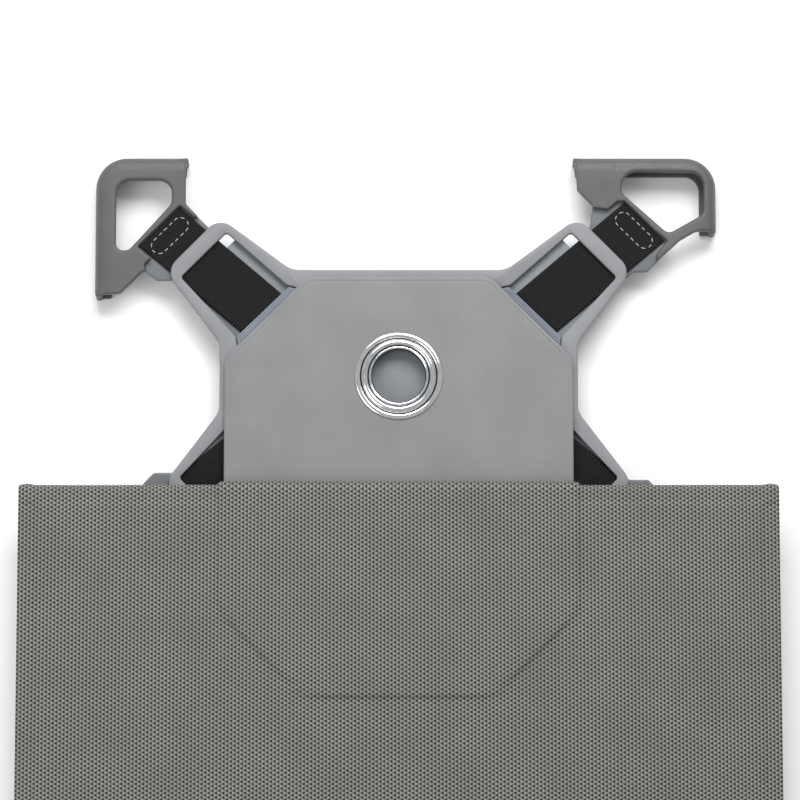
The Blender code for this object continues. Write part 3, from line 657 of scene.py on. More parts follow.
def columns(fine=()):
    """Grid stations across a panel, closer together in the fine ranges and at the hems."""
    found = list(np.arange(-HALF + 8, HALF - 7.9, 3.5)) + [-HALF, HALF]
    hem = np.array([0.0, 0.25, 0.6, 1.2, 2.2, 3.0, 3.4, 4.2, 5.2, 5.9, 6.3, 6.6, 7.0, 7.4])
    found += list(-HALF + hem) + list(HALF - hem)
    for low, high, spacing in fine:
        found += list(np.arange(low, high, spacing)) + list(-np.arange(low, high, spacing))
    found = np.unique(np.round(found, 3))
    keep = [found[0]]
    for x in found[1:]:
        if x - keep[-1] > 0.2:
            keep.append(x)
    keep[-1] = HALF
    return np.array(keep)


def sheet_piece(name, path, xs, rise, thickness, half_width=None, pattern_start=0.0):
    """A closed leather layer along a path: rise lifts its face, thickness is measured from it."""
    rows, cols = len(path.points), len(xs)
    width = np.full(rows, HALF) if half_width is None else half_width
    grid_x = xs[None, :] * (width / HALF)[:, None]
    lift = rise(grid_x)
    points, pattern = [], []
    for offset in (lift, lift - thickness(grid_x)):
        y = path.points[:, 0][:, None] + path.normals[:, 0][:, None] * offset
        z = path.points[:, 1][:, None] + path.normals[:, 1][:, None] * offset
        points.append(np.stack([grid_x, y, z], axis=2).reshape(-1, 3))
        run = np.broadcast_to((path.run + pattern_start)[:, None], grid_x.shape)
        pattern.append(np.stack([grid_x, run, np.zeros_like(run)], axis=2).reshape(-1, 3))
    faces = closed_grid(rows, cols)
    return mesh_object(name, np.concatenate(points), faces, np.concatenate(pattern), sharp=50.0)


def corner_width(distance):
    """Half width of a panel near its rounded end, distance in from the end."""
    d = np.clip(np.asarray(distance, float), 0.0, CORNER)
    return HALF - CORNER + np.sqrt(CORNER**2 - (CORNER - d) ** 2)


def unevenness(grid_x, path, amount, seed):
    """Slow ripples that keep a leather face from being dead flat."""
    xs = np.linspace(-HALF, HALF, 45)
    ys = np.arange(0.0, path.run[-1] + 8.0, 8.0)
    field = fractal(xs, ys, 0.021, seed)
    rows = np.empty((len(path.run), len(xs)))
    for k in range(len(xs)):
        rows[:, k] = np.interp(path.run, ys, field[:, k])
    return amount * np.array([np.interp(grid_x[r], xs, rows[r]) for r in range(len(path.run))])


def octagon_mask(grid_x, y):
    """1 on the raised octagon of the leg's inner face, 0 off it, eased over its edge."""
    spread, chamfer = 1.2, 34.0
    half = box("leg_doubler")[1].x + spread
    end = box("leg_doubler")[0].y - spread
    sides = half - np.abs(grid_x)
    bottom = y - end
    slant = (half - chamfer / 2 - np.abs(grid_x) + bottom - chamfer / 2) / math.sqrt(2)
    depth = -spread * np.log(sum(np.exp(-d / spread) for d in (sides, bottom, slant)))
    return step(depth, -0.27, 0.9)


def border(grid_x, reach):
    """1 within reach of the panel's side edges."""
    return step(np.abs(grid_x), HALF - reach - 0.25, HALF - reach + 0.45)


def side_round(grid_x, width):
    """Drop of the face at its very side edge."""
    gap = np.clip(width[:, None] - np.abs(grid_x), 0.0, 0.9) / 0.9
    return -0.45 * (1 - np.sqrt(np.clip(1 - (1 - gap) ** 2, 0, 1)))


def leg_sheet():
    """The dotted lining: leg face, round the crease, and the far panel's face below."""
    bulge = (LEG_TOP - FAR_LOW) / 2 + 0.03
    centre = (LEG_TOP + FAR_LOW) / 2
    start = LEG_Y + 2.0
    octagon_end = box("leg_doubler")[0].y
    points = line(start, LEG_TOP, octagon_end - 3.0, LEG_TOP, 3.0)
    points += line(octagon_end - 2.4, LEG_TOP, octagon_end + 28.0, LEG_TOP, 0.8)
    points += line(octagon_end + 30.0, LEG_TOP, CREASE_Y - 8.0, LEG_TOP, 3.0)
    points += line(CREASE_Y - 7.4, LEG_TOP, CREASE_Y - 0.5, LEG_TOP, 0.5)
    turn = [math.pi / 2 - math.pi * i / 18 for i in range(19)]
    points += [(CREASE_Y + bulge * math.cos(a), centre + bulge * math.sin(a)) for a in turn]
    points += line(CREASE_Y - 0.5, FAR_LOW, CREASE_Y - 7.4, FAR_LOW, 0.6)
    points += line(CREASE_Y - 9.0, FAR_LOW, FAR_END + 11.0, FAR_LOW, 3.0)
    points += [(FAR_END + d, FAR_LOW) for d in END_STEPS]
    path = Path(points)
    y, z = path.points[:, 0], path.points[:, 1]
    low_side = z < centre
    width = np.where(low_side, corner_width(y - FAR_END), HALF)
    fold = step(np.hypot(y - CREASE_Y, z - centre), bulge + 3.3, bulge + 2.4)

    def rise(grid_x):
        top = (~low_side)[:, None] * octagon_mask(grid_x, y[:, None])
        folded = fold[:, None]
        from_side = np.abs(grid_x) - HALF
        line_dip = -0.28 * folded * (1 - top)
        hem_dip = -0.30 * border(grid_x, HEM) * (1 - folded)
        ear = 0.55 * folded * np.exp(-((from_side + FILLET) / 2.2) ** 2)
        pressed = -0.12 * np.exp(-((from_side + HEM) / 0.45) ** 2) * (1 - folded)
        ripple = unevenness(grid_x, path, 0.16, 3.7) + folded * unevenness(grid_x, path, 0.10, 9.1)
        end_dip = -0.3 * (low_side * step(y, FAR_END + 4.0, FAR_END + 3.2))[:, None]
        lift = 1.05 * top + line_dip + hem_dip + ear + pressed + ripple + end_dip
        return lift + side_round(grid_x, width)

    def thickness(grid_x):
        flat = (np.abs(z - centre) > bulge - 0.1)[:, None]
        return 0.7 + 0.45 * border(grid_x, FILLET) * flat

    stations = columns([(44.0, 74.0, 0.8)])
    made = sheet_piece("leather_leg_and_far_lining", path, stations, rise, thickness, width)
    dress(made, "dotted_leather")
    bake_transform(made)
    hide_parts("leg_lining", "far_lining")


def crease_skin():
    """The outer leather: the leg's back, round the crease, and the far panel's back."""
    gap = (LEG_LOW - FAR_HIGH) / 2
    centre = (LEG_LOW + FAR_HIGH) / 2
    points = line(LEG_Y + 2.0, LEG_LOW, CREASE_Y - 3.0, LEG_LOW, 3.2)
    points += line(CREASE_Y - 2.4, LEG_LOW, CREASE_Y - 0.4, LEG_LOW, 0.4)
    turn = [-math.pi / 2 + math.pi * i / 8 for i in range(9)]
    points += [(CREASE_Y + gap * math.cos(a), centre - gap * math.sin(a)) for a in turn]
    points += line(CREASE_Y - 0.4, FAR_HIGH, CREASE_Y - 2.4, FAR_HIGH, 0.4)
    points += line(CREASE_Y - 3.4, FAR_HIGH, FAR_END + 11.0, FAR_HIGH, 3.2)
    points += [(FAR_END + d, FAR_HIGH) for d in END_STEPS]
    path = Path(points, flip=True)
    y, z = path.points[:, 0], path.points[:, 1]
    width = np.where(z < centre, corner_width(y - FAR_END), HALF)

    def rise(grid_x):
        return -0.28 * border(grid_x, HEM) + side_round(grid_x, width)

    def thickness(grid_x):
        return 0.68 + 0.42 * border(grid_x, FILLET) * (np.abs(y - CREASE_Y) > 1.0)[:, None]

    made = sheet_piece("leather_leg_and_far_back", path, columns(), rise, thickness, width)
    dress(made, "outer_leather")
    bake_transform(made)
    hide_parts("leg_skin", "far_skin")


LEAN = math.atan2(LEG_Z - FRONT_Z, LEG_Y - FRONT_Y)
SPINE = math.hypot(LEG_Z - FRONT_Z, LEG_Y - FRONT_Y)
PANEL = 1.3  # half the thickness of the spine
GAP = 2.0  # from a fold's axis to the flat panels beside it


def on_spine(s, n):
    """A point s along the spine from its lower axis and n off its middle plane."""
    c, d = math.cos(LEAN), math.sin(LEAN)
    return (FRONT_Y + s * c - n * d, FRONT_Z + s * d + n * c)


def meeting(y_axis, z_axis, n):
    """Where faces n off the middle planes of a flat and a leaning panel meet, near an axis."""
    t = n * math.tan(LEAN / 2)
    return (y_axis - t, z_axis + n)


def strip(name, points, face, bodies, material, replaced, start):
    """A leather layer of one face; between a pair of bodies it is left in place unattached, one body carries
    it.
    """
    path = Path(points, flip=face < 0)

    def rise(grid_x):
        return -0.26 * border(grid_x, HEM) + side_round(grid_x, np.full(len(path.run), HALF))

    def thickness(grid_x):
        return 0.62 + 0.5 * border(grid_x, FILLET)

    made = sheet_piece(name, path, columns(), rise, thickness, None, start)
    dress(made, material)
    if len(bodies) == 2:
        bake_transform(made)
    else:
        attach(made, bodies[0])
    if replaced:
        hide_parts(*replaced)
    return made


def spine_and_folds():
    """Lining and skin of the spine, and the soft folds at its two edges."""
    middle = FRONT_TOP / 2
    for face, material, side in ((1, "dotted_leather", "lining"), (-1, "outer_leather", "skin")):
        n = face * PANEL
        low_face = FRONT_TOP if face > 0 else 0.0
        a, b = (FRONT_Y - GAP, low_face), on_spine(GAP, n)
        c, d = on_spine(SPINE - GAP, n), (LEG_Y + GAP, LEG_Z + n)
        front = bent(a, meeting(FRONT_Y, middle, low_face - middle), b)
        rows = [tuple(b[k] + (c[k] - b[k]) * i / 12 for k in (0, 1)) for i in range(13)]
        back = bent(c, meeting(LEG_Y, LEG_Z, n), d)
        for name, points, bodies, node, start in (
            ("front_fold", front, ("front_cover", "spine"), (), 206.0),
            ("spine", rows, ("spine",), (f"spine_{side}",), 210.0),
            ("leg_fold", back, ("spine", "leg"), (), 235.0),
        ):
            strip(f"leather_{name}_{side}", points, face, bodies, material, node, start)


def front_panel():
    """Lining and skin of the cover under the keyboard."""
    for face, height, material, node in (
        (1, FRONT_TOP, "dotted_leather", "front_lining"), (-1, 0.0, "outer_leather", "front_skin"),
    ):
        points = [(FRONT_END + d, height) for d in END_STEPS[::-1]]
        points += line(FRONT_END + 12.0, height, FRONT_Y - GAP, height, 3.0)
        path = Path(points, flip=face < 0)
        y = path.points[:, 0]
        width = corner_width(y - FRONT_END)

        def rise(grid_x):
            near_end = step(y, FRONT_END + HEM + 0.3, FRONT_END + HEM - 0.4)[:, None]
            hem = -0.28 * np.maximum(border(grid_x, HEM), near_end)
            ripple = unevenness(grid_x, path, 0.10, 6.3) if face > 0 else 0.0
            edge = np.clip((y - FRONT_END) / 0.9, 0.0, 1.0)[:, None]
            end_round = -0.45 * (1 - np.sqrt(np.clip(1 - (1 - edge) ** 2, 0, 1)))
            return (hem if face > 0 else 0.0) + ripple + side_round(grid_x, width) + end_round

        def thickness(grid_x):
            near_end = step(y, FRONT_END + 3.4, FRONT_END + 2.8)[:, None]
            return 0.66 + 0.45 * np.maximum(border(grid_x, FILLET), near_end)

        made = sheet_piece(f"leather_{node}", path, columns(), rise, thickness, width)
        place(made, "front_cover", material, node)


# ---------------------------------------------------------------- swivel plate, eyelet


def about_eye(points):
    return [(p[0], p[1] + EYE_Y, *p[2:]) for p in points]


def lathe(name, profile, x, y, count=128):
    """A closed (radius, height) profile turned about a vertical axis."""
    points, faces = [], []
    k = len(profile)
    for i in range(count):
        a = 2 * math.pi * i / count
        points += [(x + r * math.cos(a), y + r * math.sin(a), z) for r, z in profile]
    for i in range(count):
        j = (i + 1) % count
        for m in range(k):
            n = (m + 1) % k
            faces.append((i * k + m, i * k + n, j * k + n, j * k + m))
    return mesh_object(name, points, faces, sharp=60.0)


def curve_through(points, per=6):
    """A smooth (r, z) curve through points."""
    pts = [Vector(p) for p in points]
    out = []
    for i in range(len(pts) - 1):
        p0, p1, p2 = pts[max(0, i - 1)], pts[i], pts[i + 1]
        p3 = pts[min(len(pts) - 1, i + 2)]
        for s in range(per):
            t = s / per
            out.append(0.5 * (2 * p1 + (p2 - p0) * t + (2 * p0 - 5 * p1 + 4 * p2 - p3) * t * t
                              + (3 * p1 - p0 - 3 * p2 + p3) * t**3))
    out.append(pts[-1])
    return [(p.x, p.y) for p in out]


EYE_HOLE = 12.1  # radius of the hole that the eyelet's barrel passes


def swivel_plate():
    """The smooth leather plate: rounded edge and a welded line just inside it."""
    low, high = box("swivel_plate")
    top, tail = high.y, low.y
    half, chamfer, soft = high.x, 32.6, 9.5
    outline = rounded([
        (-half, tail, 6.0), (half, tail, 6.0), (half, top - chamfer, soft), (half - chamfer, top, soft),
        (-half + chamfer, top, soft), (-half, top - chamfer, soft),
    ], 12)
    edge = soft_edge(PLATE_LOW, PLATE_TOP - 0.05, 0.75, True, 5)
    welded = ((1.5, 0.0), (1.8, 0.02), (2.05, 0.13), (2.3, 0.02), (2.7, 0.0))
    edge += [(distance, PLATE_TOP - dip) for distance, dip in welded]
    plate = lofted("leather_swivel_plate", outline, edge, 60.0)
    combine(plate, prism("hole", circle(0.0, EYE_Y, EYE_HOLE), PLATE_LOW - 1, PLATE_TOP + 1))
    place(shaded(flat_pattern(plate), 50.0), "carrier", "smooth_leather", "swivel_plate")


def eyelet():
    """Polished eyelet: flange, groove, rolled ring and barrel, with its washer below."""
    base = box("eyelet")[0].z
    flange = PLATE_TOP + 0.1
    section = (
        (17.4, 0.02), (17.4, 0.22), (17.1, 0.52), (16.4, 0.72), (15.7, 0.66), (15.3, 0.40), (15.08, 0.02),
        (14.9, 0.20), (14.6, 0.62), (14.0, 1.04), (13.3, 1.20), (12.7, 1.06), (12.3, 0.66), (12.12, 0.28),
        (11.95, 0.42), (11.6, 0.72), (11.2, 0.74), (10.8, 0.52), (10.58, 0.1), (10.6, -0.8), (10.9, -1.6),
    )
    top = curve_through([(radius, flange + height) for radius, height in section], 7)
    profile = [(10.9, base), (11.8, base), (11.8, flange)] + top
    place(lathe("polished_eyelet", profile, 0.0, EYE_Y, 256), "carrier", "chrome", "eyelet")
    low, high = box("eyelet_washer")
    bore, rim = 11.95, 16.0
    ring = [(bore, low.z), (rim - 0.2, low.z), (rim, low.z + 0.2)]
    ring += [(rim, high.z - 0.2), (rim - 0.2, high.z), (bore, high.z)]
    place(lathe("pressed_washer", ring, 0.0, EYE_Y), "carrier", "steel", "eyelet_washer")
    low, high = box("hinge_pad")
    pad = slab("glued_pad", low, high, 4.0, soft_edge(low.z, high.z, 0.4))
    place(pad, "carrier", "membrane_rubber", "hinge_pad")


# ---------------------------------------------------------------- swivel frame, straps, grips

STRAP_TURN = math.radians(40.5)
STRAP_ANCHOR = Vector((54.0, 25.7))
STRAP_WIDTH = 22.2
RUN = Vector((math.cos(STRAP_TURN), math.sin(STRAP_TURN)))
DIAGONAL = Vector((1.0, 1.0)).normalized()
ACROSS = Vector((-1.0, 1.0)).normalized()
TABLET = (2.8, 1.0)
TABLET_HALF = (120.0, 84.9)
FRAME_TOP = box("frame_top")[1].z
FRAME_LOW = box("frame_top")[0].z
CHANNEL_TOP = 11.6  # of the frame's hollows for straps and eyelet
BACK_TOP = box("frame_base")[1].z
BACK_LOW = box("frame_base")[0].z
SIGNS = {"upper_left": (-1, 1), "upper_right": (1, 1), "lower_right": (1, -1), "lower_left": (-1, -1)}
REACH = {"upper_left": 110.0, "upper_right": 113.3, "lower_right": 111.9, "lower_left": 107.9}


TAB = 5.4  # from a strap's outer end to the middle of its stitched tab


def quadrant(points, signs):
    """Plan points given for the +X +Y corner, placed about the eyelet in another one."""
    sx, sy = signs
    placed = [(p[0] * sx, EYE_Y + p[1] * sy, *p[2:]) for p in points]
    return placed if sx * sy > 0 else placed[::-1]


def frame_outline(grow=0.0):
    arm = [
        (70.7 + grow, 13.8 + grow * 0.4, 8.0), (92.5 + grow, 42.7 + grow * 0.3, 7.0),
        (71.2 + grow * 0.3, 64.4 + grow, 7.0), (42.5 + grow * 0.4, 43.1 + grow, 10.0),
    ]
    corners = []
    for signs in ((1, 1), (-1, 1), (-1, -1), (1, -1)):
        corners += quadrant(arm, signs)
    return rounded(corners, 10)


def along_strap(reach, side=0.0):
    """How far along a strap a reach on the diagonal is met, and the point there, side off its middle."""
    base = STRAP_ANCHOR + Vector((-RUN.y, RUN.x)) * side
    along = (reach - base.dot(DIAGONAL)) / RUN.dot(DIAGONAL)
    return along, base + RUN * along


def strap_outline(inner, outer, width, radius=0.6):
    """A strap in the +X +Y corner, its ends square to the diagonal."""
    half = width / 2
    corners = ((inner, -half), (outer, -half), (outer, half), (inner, half))
    return [(*along_strap(reach, side)[1], radius) for reach, side in corners]


def diagonal_band(inner, outer):
    """The +X +Y corner's plan between two reaches along its diagonal."""
    side = ACROSS * 60.0
    near, far = DIAGONAL * inner, DIAGONAL * outer
    return [(*p, 0.0) for p in (near - side, far - side, far + side, near + side)]


def swivel_frame():
    """The four-armed frame, its windows with rounded edges, and the backing under them."""
    top = lofted("moulded_frame", frame_outline(), soft_edge(FRAME_LOW, FRAME_TOP, 0.85, False, 5), 60.0)
    combine(top, prism("hole", circle(0.0, EYE_Y, EYE_HOLE), FRAME_LOW - 1, FRAME_TOP + 1))
    combine(top, prism("counterbore", circle(0.0, EYE_Y, 16.3), FRAME_LOW - 1, CHANNEL_TOP))
    window = [
        (64.6, 16.6, 0.0), (86.3, 40.1, 1.4), (68.3, 58.3, 1.4),
        (44.2, 37.0, 0.8), (38.0, 35.3, 1.0), (63.3, 10.0, 1.0),
    ]
    for signs in SIGNS.values():
        widening = flared(FRAME_LOW - 1, FRAME_TOP, 0.45)
        combine(top, lofted("window", rounded(quadrant(window, signs), 6), widening, 60.0))
        slit = strap_outline(43.6, 106.0, STRAP_WIDTH + 0.8)
        combine(top, prism("channel", rounded(quadrant(slit, signs), 3), FRAME_LOW - 1, CHANNEL_TOP))
    place(shaded(top, 40.0), "holder_frame", "frame_plastic", "frame_top")

    base = lofted("moulded_backing", frame_outline(-0.8), soft_edge(BACK_LOW, BACK_TOP, 0.3, True, 2), 60.0)
    for signs in SIGNS.values():
        beyond = rounded(quadrant(diagonal_band(85.3, 100.0), signs))
        combine(base, prism("beyond", beyond, BACK_LOW - 1, BACK_TOP + 1))
    place(shaded(base, 40.0), "holder_frame", "backing_plastic", "frame_base")

    for corner, signs in SIGNS.items():
        anchor_bar(corner, signs)


def anchor_bar(corner, signs):
    """The ribbed bar that holds a strap's inner end: a core with long ribs over it."""
    low, high = box(f"anchor_bar_{corner}")
    corners = [(63.9, 16.4), (43.6, 36.2), (38.8, 35.2), (63.2, 10.8)]

    def solid(name, points, radius, steps, layers):
        return lofted(name, rounded(quadrant([(*p, radius) for p in points], signs), steps), layers, 60.0)

    pieces = [solid("core", corners, 0.7, 4, soft_edge(low.z, high.z - 0.25, 0.2, True, 2))]
    outer_a, outer_b, inner_b, inner_a = [Vector(p) for p in corners]
    for k in range(5):
        near, far = (k + 0.12) / 5, (k + 0.88) / 5
        quad = [
            outer_a.lerp(inner_a, near), outer_b.lerp(inner_b, near),
            outer_b.lerp(inner_b, far), outer_a.lerp(inner_a, far),
        ]
        middle = (quad[0] + quad[1] + quad[2] + quad[3]) / 4
        quad = [middle + (q - middle) * 0.97 for q in quad]
        pieces.append(solid("rib", quad, 0.22, 3, soft_edge(high.z - 0.5, high.z, 0.24, False, 3)))
    bar = merged(f"ribbed_bar_{corner}", pieces)
    place(bar, "holder_frame", "ribbed_webbing", f"anchor_bar_{corner}", slot="backing_plastic")


def strap(corner):
    """Woven elastic with slightly thicker selvedges, from under the frame to its sewn tab."""
    signs, reach = SIGNS[corner], REACH[corner]
    low, high = box(f"strap_{corner}")
    half, mid = (high.z - low.z) / 2, (high.z + low.z) / 2
    rows, cols = 60, 40
    inner, rounding = 44.0, 0.5
    points, pattern = [], []
    for upper in (True, False):
        for r in range(rows + 1):
            share = r / rows
            end = inner + (reach - inner) * share
            for c in range(cols + 1):
                v = (c / cols - 0.5) * STRAP_WIDTH
                along, p = along_strap(end, v)
                from_side = STRAP_WIDTH / 2 - abs(v)
                tip = min(share, 1 - share) * (reach - inner)
                rim = math.sqrt(max(0.0, 1 - (1 - min(1.0, from_side / rounding, tip / rounding)) ** 2))
                selvedge = 0.10 * math.exp(-((from_side - 1.0) / 0.5) ** 2)
                tuck = 0.10 * math.exp(-(((reach - end) - TAB) / 3.4) ** 2) * math.exp(-((v) / 9.0) ** 4)
                z = mid + half * rim + selvedge - tuck if upper else mid - half * rim
                points.append((p.x * signs[0], EYE_Y + p.y * signs[1], z))
                pattern.append((along, v, 0.0))
    faces = closed_grid(rows + 1, cols + 1)
    made = mesh_object(f"elastic_{corner}", points, faces, pattern, 60.0)
    dress(made, "strap_elastic")

    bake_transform(made)
    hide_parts(f"strap_{corner}")


def tab_stitches(corner):
    """A racetrack of pale stitches through the strap's tab."""
    signs, reach = SIGNS[corner], REACH[corner]
    top = box(f"strap_{corner}")[1].z
    centre = along_strap(reach - TAB)[1]
    long_half, radius, count = 5.9, 3.1, 15
    half_width, half_height = 0.205, 0.155
    straight = 2 * long_half
    total = 2 * straight + 2 * math.pi * radius

    def track(s):
        s %= total
        if s < straight:
            return Vector((s - long_half, -radius))
        s -= straight
        if s < math.pi * radius:
            a = -math.pi / 2 + s / radius
            return Vector((long_half + radius * math.cos(a), radius * math.sin(a)))
        s -= math.pi * radius
        if s < straight:
            return Vector((long_half - s, radius))
        a = math.pi / 2 + (s - straight) / radius
        return Vector((-long_half + radius * math.cos(a), radius * math.sin(a)))

    points, faces, pattern = [], [], []
    for k in range(count):
        start = total * k / count
        length = total / count * (0.66 + 0.06 * math.sin(k * 2.3))
        stations, sides = 9, 8
        first = len(points)
        for i in range(stations):
            t = i / (stations - 1)
            q = track(start + length * t)
            ahead = track(start + length * t + 0.05) - q
            ahead = (ACROSS * ahead.x + DIAGONAL * ahead.y).normalized()
            across = Vector((-ahead.y, ahead.x))
            p = centre + ACROSS * q.x + DIAGONAL * q.y
            swell = math.sqrt(max(0.02, 1 - (2 * t - 1) ** 4))
            z = top - 0.12 + 0.20 * math.sin(math.pi * t)
            for j in range(sides):
                a = 2 * math.pi * j / sides
                w = p + across * half_width * swell * math.cos(a)
                height = z + half_height * swell * math.sin(a)
                points.append((w.x * signs[0], EYE_Y + w.y * signs[1], height))
                pattern.append((length * t, 0.23 * a, 0.0))
        for i in range(stations - 1):
            for j in range(sides):
                a, b = first + i * sides + j, first + i * sides + (j + 1) % sides
                faces.append((a, b, b + sides, a + sides))
        faces.append(tuple(first + j for j in range(sides))[::-1])
        faces.append(tuple(first + (stations - 1) * sides + j for j in range(sides)))
    made = mesh_object(f"tab_stitches_{corner}", points, faces, pattern, 80.0)
    place(made, f"corner_{corner}", "thread", slot="strap_elastic")


def turned(points):
    """Plan points turned half round the tablet's centre."""
    return [(2 * TABLET[0] - p[0], 2 * TABLET[1] - p[1], *p[2:]) for p in points]


def flipped(points):
    """Plan points mirrored to the tablet's other long edge."""
    return [(p[0], 2 * TABLET[1] - p[1], *p[2:]) for p in points[::-1]]


def holder_outline(grow, radius):
    x0, x1 = TABLET[0] - TABLET_HALF[0] - grow, TABLET[0] + TABLET_HALF[0] + grow
    y0, y1 = TABLET[1] - TABLET_HALF[1] - grow, TABLET[1] + TABLET_HALF[1] + grow
    return rounded(about_eye(rectangle(x0, y0, x1, y1, radius)), 14)


# Plans of a grip, from the eyelet: body, window, the hollow for frame and strap, and its wall's two ends.
TALL = {
    "body": [
        (-120.6, 89.3, 12.0), (-120.6, 33.4, 1.2), (-110.4, 33.6, 4.0), (-100.9, 43.3, 1.2), (-95.9, 39.1, 1.2),
        (-89.5, 39.1, 0.0), (-71.7, 57.0, 0.0), (-84.6, 69.8, 3.5), (-84.6, 89.3, 1.0),
    ],
    "window": [
        (-112.2, 79.6, 5.5), (-112.2, 50.6, 3.0), (-106.9, 51.4, 2.5), (-90.2, 70.0, 4.0), (-90.2, 79.6, 5.0),
    ],
    "recess": [
        (-101.0, 45.4, 1.0), (-99.9, 41.8, 0.0), (-95.0, 28.0, 0.0), (-58.0, 45.0, 0.0),
        (-70.0, 70.0, 0.0), (-79.9, 65.0, 0.0), (-81.6, 63.4, 1.0),
    ],
    "flares": [((-84.6, 88.4), (-87.6, 88.4)), ((-119.7, 33.6), (-119.7, 36.6))],
}
WIDE = {
    "body": [
        (126.2, 89.3, 12.0), (70.2, 89.3, 0.8), (70.8, 75.6, 2.0), (76.9, 69.3, 1.0), (74.6, 49.8, 0.0),
        (81.9, 42.5, 0.0), (98.4, 42.5, 1.2), (102.9, 47.2, 1.2), (111.5, 55.2, 5.0), (118.0, 59.0, 4.0),
        (126.2, 59.0, 1.0),
    ],
    "window": [
        (121.2, 82.7, 5.0), (89.6, 83.2, 6.0), (88.2, 74.6, 3.0), (106.9, 57.8, 3.0), (121.2, 65.9, 4.0),
    ],
    "recess": [
        (72.0, 69.1, 1.0), (83.0, 67.6, 1.0), (87.2, 71.3, 0.0), (106.6, 55.0, 0.0), (102.1, 48.9, 1.0),
        (103.5, 44.0, 0.0), (100.0, 30.0, 0.0), (60.0, 40.0, 0.0), (62.0, 64.0, 0.0),
    ],
    "flares": [((70.2, 88.4), (73.2, 88.4)), ((125.3, 59.2), (125.3, 62.2))],
}
BROAD = {
    "body": WIDE["body"][:4] + [
        (75.4, 55.8, 0.0), (92.1, 39.6, 0.0), (102.0, 39.6, 1.2), (106.3, 44.3, 1.2), (112.5, 53.5, 5.0),
    ] + WIDE["body"][9:],
    "window": WIDE["window"],
    "recess": WIDE["recess"][:4] + [
        (105.0, 50.0, 0.0), (112.0, 38.0, 0.0), (100.0, 28.0, 0.0),
    ] + WIDE["recess"][7:],
    "flares": WIDE["flares"],
}


def flare(first, second):
    """The slight outward lip at the end of a grip's wall."""
    a, b = Vector(first[:2]), Vector(second[:2])
    if abs(a.y - b.y) < 0.5:
        out = Vector((0.0, 1.0 if a.y > TABLET[1] else -1.0))
    else:
        out = Vector((1.0 if a.x > TABLET[0] else -1.0, 0.0))
    end = (a - b).normalized()
    quad = [a + out * 0.5 + end * 0.9, b + out * 0.2, b - out * 1.5, a - out * 1.5 + end * 0.9]
    ridge = rounded(about_eye([(p.x, p.y, 0.4) for p in quad]), 3)
    return lofted("flare", ridge, soft_edge(0.4, 11.0, 0.7))


def grip(corner, shape, placed):
    """A soft corner grip: rolled outer wall, window, low tongue under the strap and front lip."""
    signs, reach = SIGNS[corner], REACH[corner]
    body, window, recess = (about_eye(placed(shape[part])) for part in ("body", "window", "recess"))
    flares = [placed([f + (0,) for f in pair]) for pair in shape["flares"]]
    if placed is flipped:
        flares = [pair[::-1] for pair in flares]
    high = box(f"grip_{corner}")[1].z
    made = prism(f"moulded_grip_{corner}", rounded(body, 10), 0.0, high + 0.2)
    tongue = strap_outline(87.5, reach + 2.0, STRAP_WIDTH + 3.0, 1.0)
    combine(made, prism("tongue", rounded(quadrant(tongue, signs), 4), 9.0, high + 0.2), "UNION")
    envelope = lofted("envelope", holder_outline(3.4, 12.5), [
        (1.3, -0.01), (0.5, 0.3), (0.1, 1.0), (0.0, 2.0), (0.0, 6.4), (0.25, 8.4), (0.8, 10.0), (1.7, 11.2),
        (2.9, 11.95), (4.6, 12.35), (6.0, high + 0.05), (9.0, high + 0.08),
    ])
    combine(made, envelope, "INTERSECT")
    bay_low, bay_high, under, seat = 1.6, 8.9, 7.5, 10.1
    combine(made, prism("bay", holder_outline(0.3, 9.3), bay_low, bay_high))
    combine(made, prism("front", holder_outline(-3.0, 6.0), -1.0, bay_low + 1))
    combine(made, lofted("window", rounded(window, 8), flared(under, high, 0.7), 60.0))
    for outline, low in (
        (rounded(quadrant(diagonal_band(30.0, 89.5), signs), 3), under),
        (rounded(quadrant(strap_outline(60.0, reach + 0.4, STRAP_WIDTH + 1.6), signs), 3), seat),
        (rounded(recess, 4), seat),
    ):
        combine(made, prism("seat", outline, low, high + 2))
    made = merged(f"moulded_grip_{corner}", [made] + [flare(*pair) for pair in flares])
    softened(made, 0.5, 3)
    dress(made, "grip_rubber")
    made.data.materials.append(M["tongue_rubber"])
    for polygon in made.data.polygons:
        p = polygon.center / MM
        s = (abs(p.x) + abs(p.y - EYE_Y)) / math.sqrt(2)
        if 8.8 < p.z < 10.35 and s < reach - 0.5:
            polygon.material_index = 1
    place(made, f"corner_{corner}", None, f"grip_{corner}", slot="grip_rubber")


# ---------------------------------------------------------------- keyboard


def keycap(x0, x1, y0, y1, low, high):
    """One keycap: skirt, rounded shoulder and a slightly sunken top."""
    layers = [(0.0, low), (0.28, high - 0.45), (0.42, high - 0.16), (0.75, high - 0.02), (1.1, high - 0.05)]
    return lofted("cap", rounded(rectangle(x0, y0, x1, y1, 1.2), 4), layers, 60.0)


ROWS = [
    ("z_row", [2.25] + [1.0] * 10 + [2.25], 1, " ZXCVBNM,./ "),
    ("a_row", [1.75] + [1.0] * 11 + [1.75], 2, " ASDFGHJKL;' "),
    ("q_row", [1.5] + [1.0] * 12 + [1.0], 3, " QWERTYUIOP[] "),
    ("number_row", [1.0] * 13 + [1.5], 4, "`1234567890-= "),
]
BOTTOM = [
    ("modifiers_left", [1.0] * 3 + [1.25], 0.0), ("space_bar", [5.25], 4.25),
    ("modifiers_right", [1.0, 1.0], 9.5), ("arrow_keys", [1.0] * 3, 11.5),
]
KEY_PITCH, ROW_PITCH, KEY_GAP = 16.6, 13.2, 2.2


